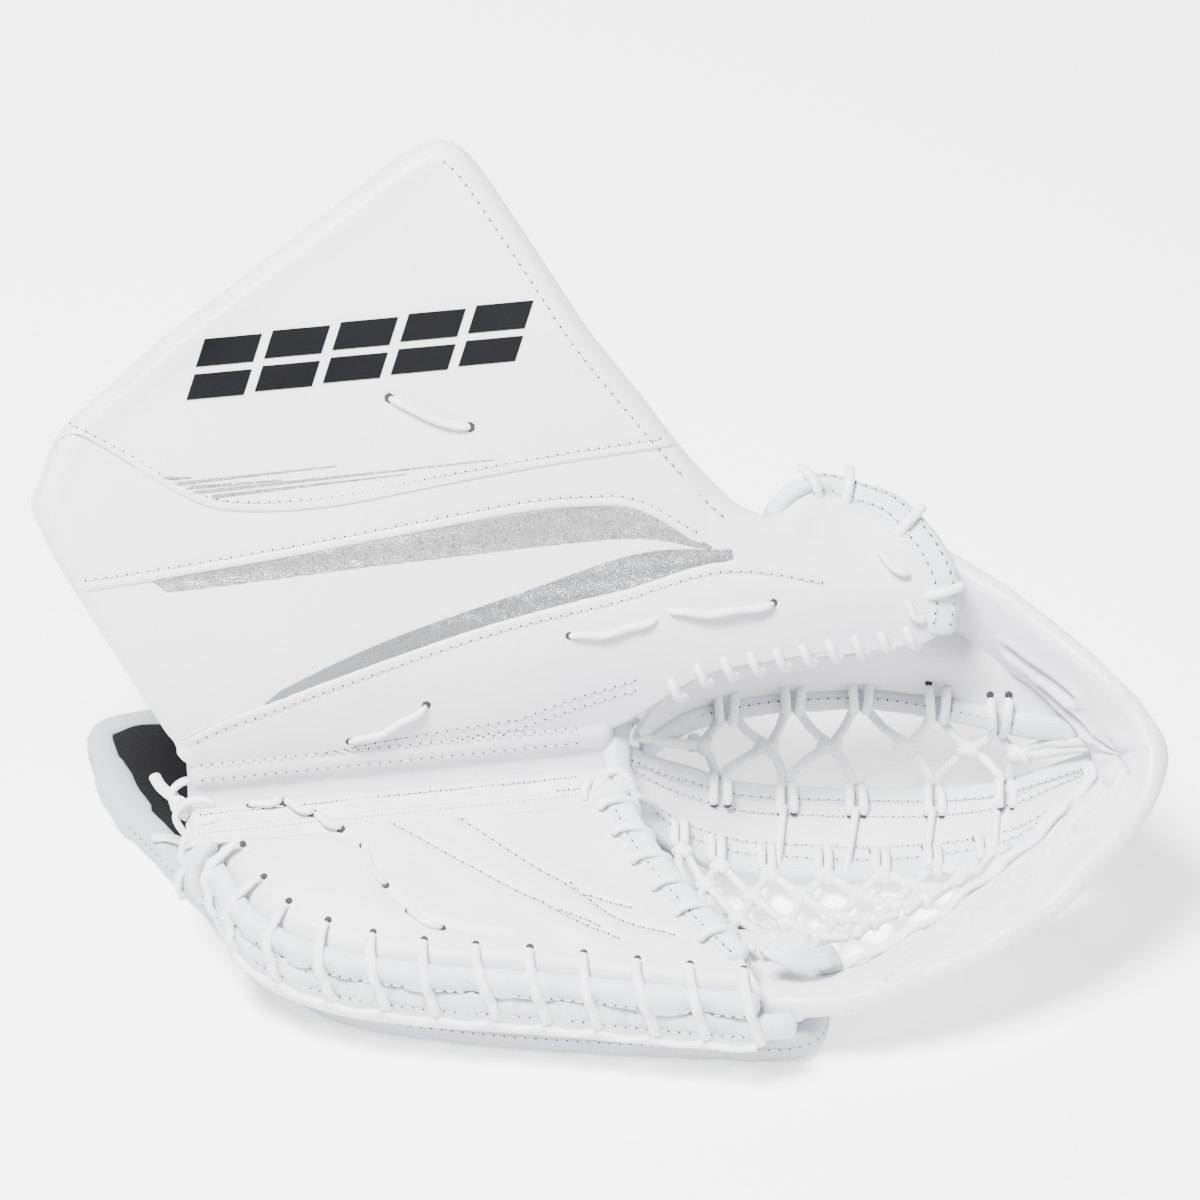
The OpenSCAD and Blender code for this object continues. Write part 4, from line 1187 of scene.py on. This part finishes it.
# ------------------------------------------------------------------ perimeter bands
def star(flat, at, seed, arms=7, reach=32.0, depth=3.4):
    """Creases that run out from a pinched point."""
    rng = np.random.default_rng(seed)
    rel = flat - at
    far = np.linalg.norm(rel, axis=-1)
    creases = np.zeros(far.shape)
    for k in range(arms):
        ang = 2 * math.pi * (k + rng.uniform(-0.2, 0.2)) / arms
        d = np.array([math.cos(ang), math.sin(ang)])
        run = rel @ d
        off = rel @ np.array([-d[1], d[0]])
        fade = np.clip(1 - run / (reach * rng.uniform(0.55, 1.1)), 0, 1) * (run > 0)
        creases = np.maximum(creases, fade * bell(off, 1.2 + 0.1 * np.abs(run)))
    return 1.5 * bell(far - 13, 7) - depth * creases


def band_grid():
    """The perimeter band's pocket side: points, normals, flat coordinates and width."""
    us = np.linspace(0, 1, 420)
    a, b = along(BAND_IN, us), along(BAND_RIM, us)
    vs = steps(70, 0.5, 0.8)[:, None, None]
    g = a + (b - a) * vs
    g = g + grid_normals(g) * (3.5 * np.sin(math.pi * vs))
    n = grid_normals(g)
    run = lengths(0.5 * (a + b))
    wide = np.linalg.norm(b - a, axis=1)
    flat = np.stack([np.broadcast_to(run, g.shape[:2]), vs[..., 0] * wide], axis=-1)
    return g, n, flat, wide, run


def make_bands():
    """Thumb and finger bands as one creased face, their laces, pad and tape."""
    g, n, flat, wide, run = band_grid()
    tip = int(round(BAND_TIP * (len(run) - 1)))
    d = np.minimum(flat[..., 1], wide - flat[..., 1])
    d = np.minimum(d, np.minimum(run, run[-1] - run))
    h = rolled(d, BAND_ROLL) + star(flat, np.array([run[tip] + 1, 24.0]), 5) \
        + 0.8 * ripple(flat * [1, 0.45], 26, 14)
    folds = [((-70, 20), (-34, 26)), ((-46, 13), (-14, 17)), ((18, 22), (52, 28)),
             ((34, 12), (70, 17)), ((58, 24), (96, 30)), ((84, 14), (128, 17)),
             ((104, 27), (150, 31)), ((12, 34), (40, 38)), ((46, 33), (78, 37))]
    for a, b in folds:
        line = np.array([a, b], float) + [run[tip], 0]
        e = line_distance(flat, line)
        h = h - FOLD_DEPTH * bell(e, 2.0) + FOLD_RIDGE * bell(e - 5, 2.5)
    low = -BAND_T - rolled(d, 3.5) + 0.4 * ripple(flat, 30, 15)
    upper, lower = g + n * h[..., None], g + n * low[..., None]
    thumb = build("thumb_band", slab_between(upper[:, :tip + 1], lower[:, :tip + 1]), "band")
    finger = build("finger_band", slab_between(upper[:, tip:], lower[:, tip:]), "band")
    g2, n2 = upper[:, tip:], n[:, tip:]
    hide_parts("thumb_band_leather", "thumb_band_core", "thumb_band_backing", "tip_gusset")
    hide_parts("finger_band_leather", "finger_band_core", "finger_band_backing")
    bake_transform(thumb)
    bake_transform(finger)
    cords = []
    for row in (9, 16):
        path = (g2 + n2 * CORD_LIFT)[row, 10:-40]
        wob = 0.7 * np.sin(lengths(path) / 4.2)[:, None] * n2[row, 10:-40]
        cords.append(tube(path + wob, 1.9, 1.6, None, 10, 2.2))
    laced = build("finger_band_laces", cords, "lace")
    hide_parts("finger_band_lacing")
    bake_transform(laced)
    path = even([(70, -121, 46), (76, -127, 46), (86, -127, 43), (95, -122, 40),
                 (98, -116, 36)], 40)
    loop = tape(path, 5.0, 1.5, np.array([0.2, -0.6, 0.75]), 0.5, 41)
    middle = even([(44, -115, 22), (68, -114, 22.5), (90, -115, 23)], 40)
    pad = tube(middle, 27, 6.5, (0, 0, 1), 24, 2.6)
    build("finger_tip_pad", pad, "leather", "palm_side")
    made = build("finger_tip_tape", loop, "tape", "palm_side")
    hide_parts("finger_tip_loop")


# ------------------------------------------------------------------ web and nets
def make_web():
    """The web's stem with its backing, tapes, seams and tie laces."""
    us, vs = np.linspace(0.04, 0.99, 140), steps(26, 0.5, 0.5)
    g = rail_grid([STEM_NEAR, STEM_FAR], us, vs)
    flat = np.stack([np.broadcast_to(lengths(g[13]), g.shape[:2]),
                     np.broadcast_to(vs[:, None] * 40, g.shape[:2])], axis=-1)
    creases = bell(vs - 0.3, 0.03) + bell(vs - 0.7, 0.03)
    top = 0.3 * ripple(flat, 30, 17) - 0.9 * creases[:, None]
    made = build("web_stem", slab(g, top, -WEB_T + 1.4), "leather", "web")
    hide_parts("web_leather", "web_stiffener")
    back = build("web_rear", slab(g, -WEB_T + 1.3, -WEB_T), "leather", "web")
    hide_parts("web_backing")
    n = grid_normals(g)
    for v in (8, 18):
        stitches("web", (g + n * 0.3)[v, 4:-4], n[v, 4:-4])
    far = along(STEM_FAR, us)
    near = along(STEM_NEAR, us)
    across = unit(far - near)
    up = n[13]
    edges = ((far, 1, "web_tape_far", "web_binding_upper"),
             (near, -1, "web_tape_near", "web_binding_lower"))
    for rail, side, name, node in edges:
        body = tape(rail + across * side * 1.5 - up * 2.2, 5.6, 3.6, up, 0.35, 50 + side, 3.0)
        made = build(name, body, "tape", "web")
        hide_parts(node)
        stitches("web", (rail - across * side * 2.6 + up * 1.5)[4:-4], up[4:-4])
    ties = []
    for x in (82, 113, 147, 175):
        a, b = nearest_x(far, x), nearest_x(near, x - 5)
        rise = np.array([0, 0, 2.6])
        pts = [a + (b - a) * v + rise for v in (0.24, 0.45, 0.7, 0.95)]
        ties.append(lace([pts[0] - [0, 0, 3.5]] + pts + [b + [-0.5, -3, 0.6], b + [-1, -5, -4]],
                         1.9, 1.6, 30))
    laced = build("web_tie_laces", ties, "lace", "web")
    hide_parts("web_ties")


def make_strip():
    """Leather strip along the thumb band's inner edge, with its tape."""
    us = np.linspace(0, 1, 110)
    g = rail_grid([STRIP_LOW, STRIP_MID, STRIP_TOP], us, steps(26, 0.6, 0.2))
    flat = np.stack([g[..., 0], g[..., 2]], axis=-1)
    made = build("thumb_strip", slab(g, 0.5 * ripple(flat, 24, 19), -2.6), "leather", "thumb_side")
    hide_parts("thumb_strip_leather")
    p = even(STRIP_LOW, 110)
    body = tape(p + [0, -1.4, -1.0], 3.6, 5.4, unit(np.array([0, 0.25, 1.0])), 0.3, 61, 3.0)
    made = build("thumb_strip_tape", body, "tape", "thumb_side")
    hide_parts("thumb_strip_binding")
    stitches("thumb_side", (p + [0, -5.0, 1.6])[4:-4], np.array([0, -0.9, 0.4]))


NET_OUTER = [(8, -50, 55), (20, -66, 50), (34, -92, 44), (52, -112, 40), (76, -113, 34),
             (98, -104, 31), (122, -90, 32), (148, -74, 36), (170, -58, 43), (187, -47, 50),
             (204, -38, 60)]
UPPER_TOP = [(55, 30, 48), (84, 35, 47), (114, 34, 48), (147, 23, 51), (173, 7, 54)]
UPPER_KNOTS = [(43, 17, 40), (73, 25, 32), (101, 27, 31), (135, 22, 35), (162, 11, 42),
               (183, -2, 50)]
UPPER_LOW = [(52, 12, 28), (82, 19, 21), (113, 18, 19), (147, 12, 24), (177, -1, 36)]


def net_point(a, b):
    """Point of the lower net: a along the stem's near edge, b out to the band."""
    near, outer = along(WEB_NEAR, [a])[0], along(NET_OUTER, [a])[0]
    return near * (1 - b) + outer * b - [0, 0, 8 * math.sin(math.pi * b)]


def upper_net():
    """Knotted cords between the thumb strip and the stem."""
    cords = []
    strip = along(STRIP_LOW, np.linspace(0, 1, 300))
    stem = along(WEB_FAR, np.linspace(0, 1, 300))
    for i, (t, b) in enumerate(zip(np.array(UPPER_TOP, float), np.array(UPPER_LOW, float))):
        s = nearest_x(strip, t[0])
        e = nearest_x(stem, b[0])
        for side in (-1, 1):
            x = np.array([side * 2.4, 0, 0])
            k = np.array(UPPER_KNOTS[i + (side > 0)], float) - np.array([side * 1.8, 0, 0])
            pts = [s + [side * 4, -3, 13], s + [side * 3.6, -8.2, 9], s + [side * 3.0, -9.6, 2],
                   s + x * 1.1 + [0, -6.0, -5], t + x * 0.8, t * 0.5 + k * 0.5 + x * 0.15, k,
                   b * 0.5 + k * 0.5 + x * 0.15, b + x * 0.8, e + x + [0, 4.5, 3.5],
                   e + x * 1.2 + [0, -3, 4.8], e + x * 1.3 + [0, -9, 2.4],
                   e + x * 1.3 + [0, -11, -1.5]]
            cords.append(lace(pts, 2.1, None, 60, 9))
            holes("thumb_side", [s + [side * 4, -2.2, 13.5]], [np.array([0, -1, 0.3])], 1.9)
            holes("web", [e + [side * 3, -11.2, 0.3]], [np.array([0, -0.2, 1])], 1.9)
    cords.append(lace([UPPER_KNOTS[0], (34, 9, 47), (24, 0, 56), (14, -8, 66)], 2.3))
    for z in (0, 4):
        cords.append(lace([UPPER_KNOTS[-1], (192, -9 + z * 0.6, 56 + z), (201, -16, 64 + z),
                           (210, -24, 72 + z)], 2.0))
    for c in UPPER_KNOTS:
        cords += knot(np.array(c, float), unit(np.array([0, -0.75, 0.65])), 4.2)
    made = build("upper_netting", cords, "lace")
    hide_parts("upper_net")
    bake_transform(made)


def lower_net():
    """Knotted mesh of cords between the stem and the finger band."""
    rows = [0.10, 0.30, 0.55, 0.80, 1.0]
    cords, knots = [], []
    at = lambda r, c: net_point(0.27 + 0.088 * (c + 0.5 * (r % 2)), rows[r])
    for c in range(7):
        top = at(0, c)
        edge = along(WEB_NEAR, [0.27 + 0.088 * c])[0]
        for side in (-1, 1):
            x = np.array([side * 2.2, 0, 0])
            col = [edge + x + [0, 9, -1.5], edge + x + [0, 8, 2.2], edge + x + [0, 1, 4.4],
                   edge + x + [0, -5.5, 2.6], top + x * 0.6]
            for r in range(1, 5):
                odd = r % 2
                lean = np.array([-side * 1.6 if odd else side * 1.6, 0, 0])
                col.append(at(r, c - 1 if odd and side < 0 else c) + lean)
            cords.append(lace(col, 2.0, None, 70, 9))
            holes("web", [edge + [side * 2.4, 9.4, 0.8]], [UP], 2.6)
        for r in range(0, 4 if c < 5 else 2):
            knots += knot(at(r, c), unit(np.array([0, -0.1, 1.0])), 3.4)
    made = build("lower_netting", cords + knots, "lace")
    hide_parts("lower_net")
    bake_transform(made)


# ------------------------------------------------------------------ wrist strap
STRAP_X, STRAP_HALF, STRAP_BOW = -171.0, 19.0, 62.0
STRAP_ALONG = unit(FOLD)


def strap_line(n):
    """Bowed line of the strap's webbing from one anchor to the other."""
    ends = []
    for s, off in ((128, CUFF_T + 3.2), (44, CUFF_T + 3.6)):
        f = np.array([[STRAP_X, s]], float)
        ends.append((cuff_at(f) - cuff_normal(f) * off)[0])
    a, b = ends
    c = b - a
    out = unit(np.array([0, -c[2], c[1]]))
    t = np.linspace(0, 1, n + 1)
    return a + t[:, None] * c + (STRAP_BOW * np.sin(math.pi * t) ** 0.7)[:, None] * out


def make_strap():
    """The strap's ribbed webbing and its two seams."""
    line = strap_line(90)
    w = np.linspace(-STRAP_HALF, STRAP_HALF, 25)
    g = line[None] + w[:, None, None] * STRAP_ALONG
    n = unit(np.cross(np.gradient(line, axis=0), STRAP_ALONG))
    rib = 0.18 * np.cos(w * 2.2)[:, None] - 0.5 * ramp(15, 19, np.abs(w))[:, None] ** 2
    out = -n if n[45][1] < 0 else n
    upper = g + out * (1.9 + rib)[..., None]
    lower = g + out * (0.1 - rib * 0.4)[..., None]
    flip = np.cross(g[0, 1] - g[0, 0], g[1, 0] - g[0, 0]) @ out[0] < 0
    if flip:
        upper, lower = upper[::-1], lower[::-1]
    made = build("strap_webbing", slab_between(upper, lower), "webbing", "wrist_strap")
    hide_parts("wrist_strap_webbing")
    for w0 in (-16.5, 16.5):
        stitches("wrist_strap", line[3:-3] + STRAP_ALONG * w0 + out[3:-3] * 1.9, out[3:-3])


def finish_small():
    """Stitches and the dark discs of painted hole shade, gathered while the other pieces were
    made.
    """
    for body, parts in stitch_parts.items():
        build("stitching_" + body, parts, "thread", body)
    for body, parts in painted_hole_parts.items():
        # the holes' shade is painted: near-black discs laid on the faces
        build("needle_hole_shade_" + body, parts, "hole_shade", body)
    looks = {"backhand_foam": "foam", "backhand_plate": "board", "cuff_foam": "foam",
             "cuff_board": "board", "strap_loop_patch": "nap", "strap_hook_patch": "nap"}
    for node, mat in looks.items():
        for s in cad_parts[node].material_slots:
            s.material = MAT[mat]


make_cuff()
cuff_panels()
inlay("silver_inlay_bright", INLAY_A, "silver", "silver_inlay_upper")
inlay("silver_inlay_dark", INLAY_B, "steel", "silver_inlay_lower")
cuff_marks()
cuff_laces()
thumb_end()
break_cover()
make_throat()
make_palm()
palm_edges()
pocket_edge()
make_backhand()
make_heel()
make_stalls()
make_bands()
make_web()
make_strip()
upper_net()
lower_net()
make_strap()
finish_small()


# ------------------------------------------------------------------ floor, light and camera
LIGHT_AIM = (0.0, -0.02, 0.10)
CAMERA_AIM = (-0.00085, -0.005, 0.138)
CAMERA_TILT = math.radians(38)      # down from level
CAMERA_RANGE = 2.0
SENSOR_MM, LENS_MM = 36, 141.2
LIGHTS = [("key", (-0.5, -0.5, 2.0), 0.7, 225), ("fill", (1.3, -1.6, 0.9), 1.2, 12),
          ("back", (-0.3, 1.8, 1.5), 1.0, 30)]


def area(name, where, size, power):
    """Square soft light of a given side in metres and power in watts."""
    light = bpy.data.lights.new(name, "AREA")
    light.shape = "SQUARE"
    light.size, light.energy = size, power
    obj = bpy.data.objects.new(name, light)
    obj.location = where
    obj.rotation_mode = "QUATERNION"
    obj.rotation_quaternion = (Vector(LIGHT_AIM) - Vector(where)).to_track_quat("-Z", "Y")
    bpy.context.scene.collection.objects.link(obj)


def floor():
    """Plain pale floor under the glove."""
    mesh = bpy.data.meshes.new("floor")
    mesh.from_pydata([(-4, -4, 0), (4, -4, 0), (4, 4, 0), (-4, 4, 0)], [], [(0, 1, 2, 3)])
    obj = bpy.data.objects.new("floor", mesh)
    bpy.context.scene.collection.objects.link(obj)
    mat = bpy.data.materials.new("pale_floor")
    mat.use_nodes = True
    shader = mat.node_tree.nodes["Principled BSDF"]
    shader.inputs["Base Color"].default_value = (0.93, 0.93, 0.93, 1)
    shader.inputs["Roughness"].default_value = 0.9
    shader.inputs["Emission Color"].default_value = (1, 1, 1, 1)
    shader.inputs["Emission Strength"].default_value = 1.1
    mesh.materials.append(mat)


def light_and_camera():
    """Soft even light, and the camera above the front of the glove."""
    world = bpy.data.worlds.new("studio")
    world.use_nodes = True
    world.node_tree.nodes["Background"].inputs["Color"].default_value = (1, 1, 1, 1)
    world.node_tree.nodes["Background"].inputs["Strength"].default_value = 0.38
    bpy.context.scene.world = world
    for name, where, size, power in LIGHTS:
        area(name, where, size, power)
    back = Vector((0, -math.cos(CAMERA_TILT), math.sin(CAMERA_TILT)))
    cam = bpy.data.cameras.new("camera")
    cam.sensor_width, cam.lens = SENSOR_MM, LENS_MM
    obj = bpy.data.objects.new("camera", cam)
    obj.location = Vector(CAMERA_AIM) + back * CAMERA_RANGE
    obj.rotation_mode = "QUATERNION"
    obj.rotation_quaternion = (-back).to_track_quat("-Z", "Y")
    bpy.context.scene.collection.objects.link(obj)
    bpy.context.scene.camera = obj


floor()
light_and_camera()
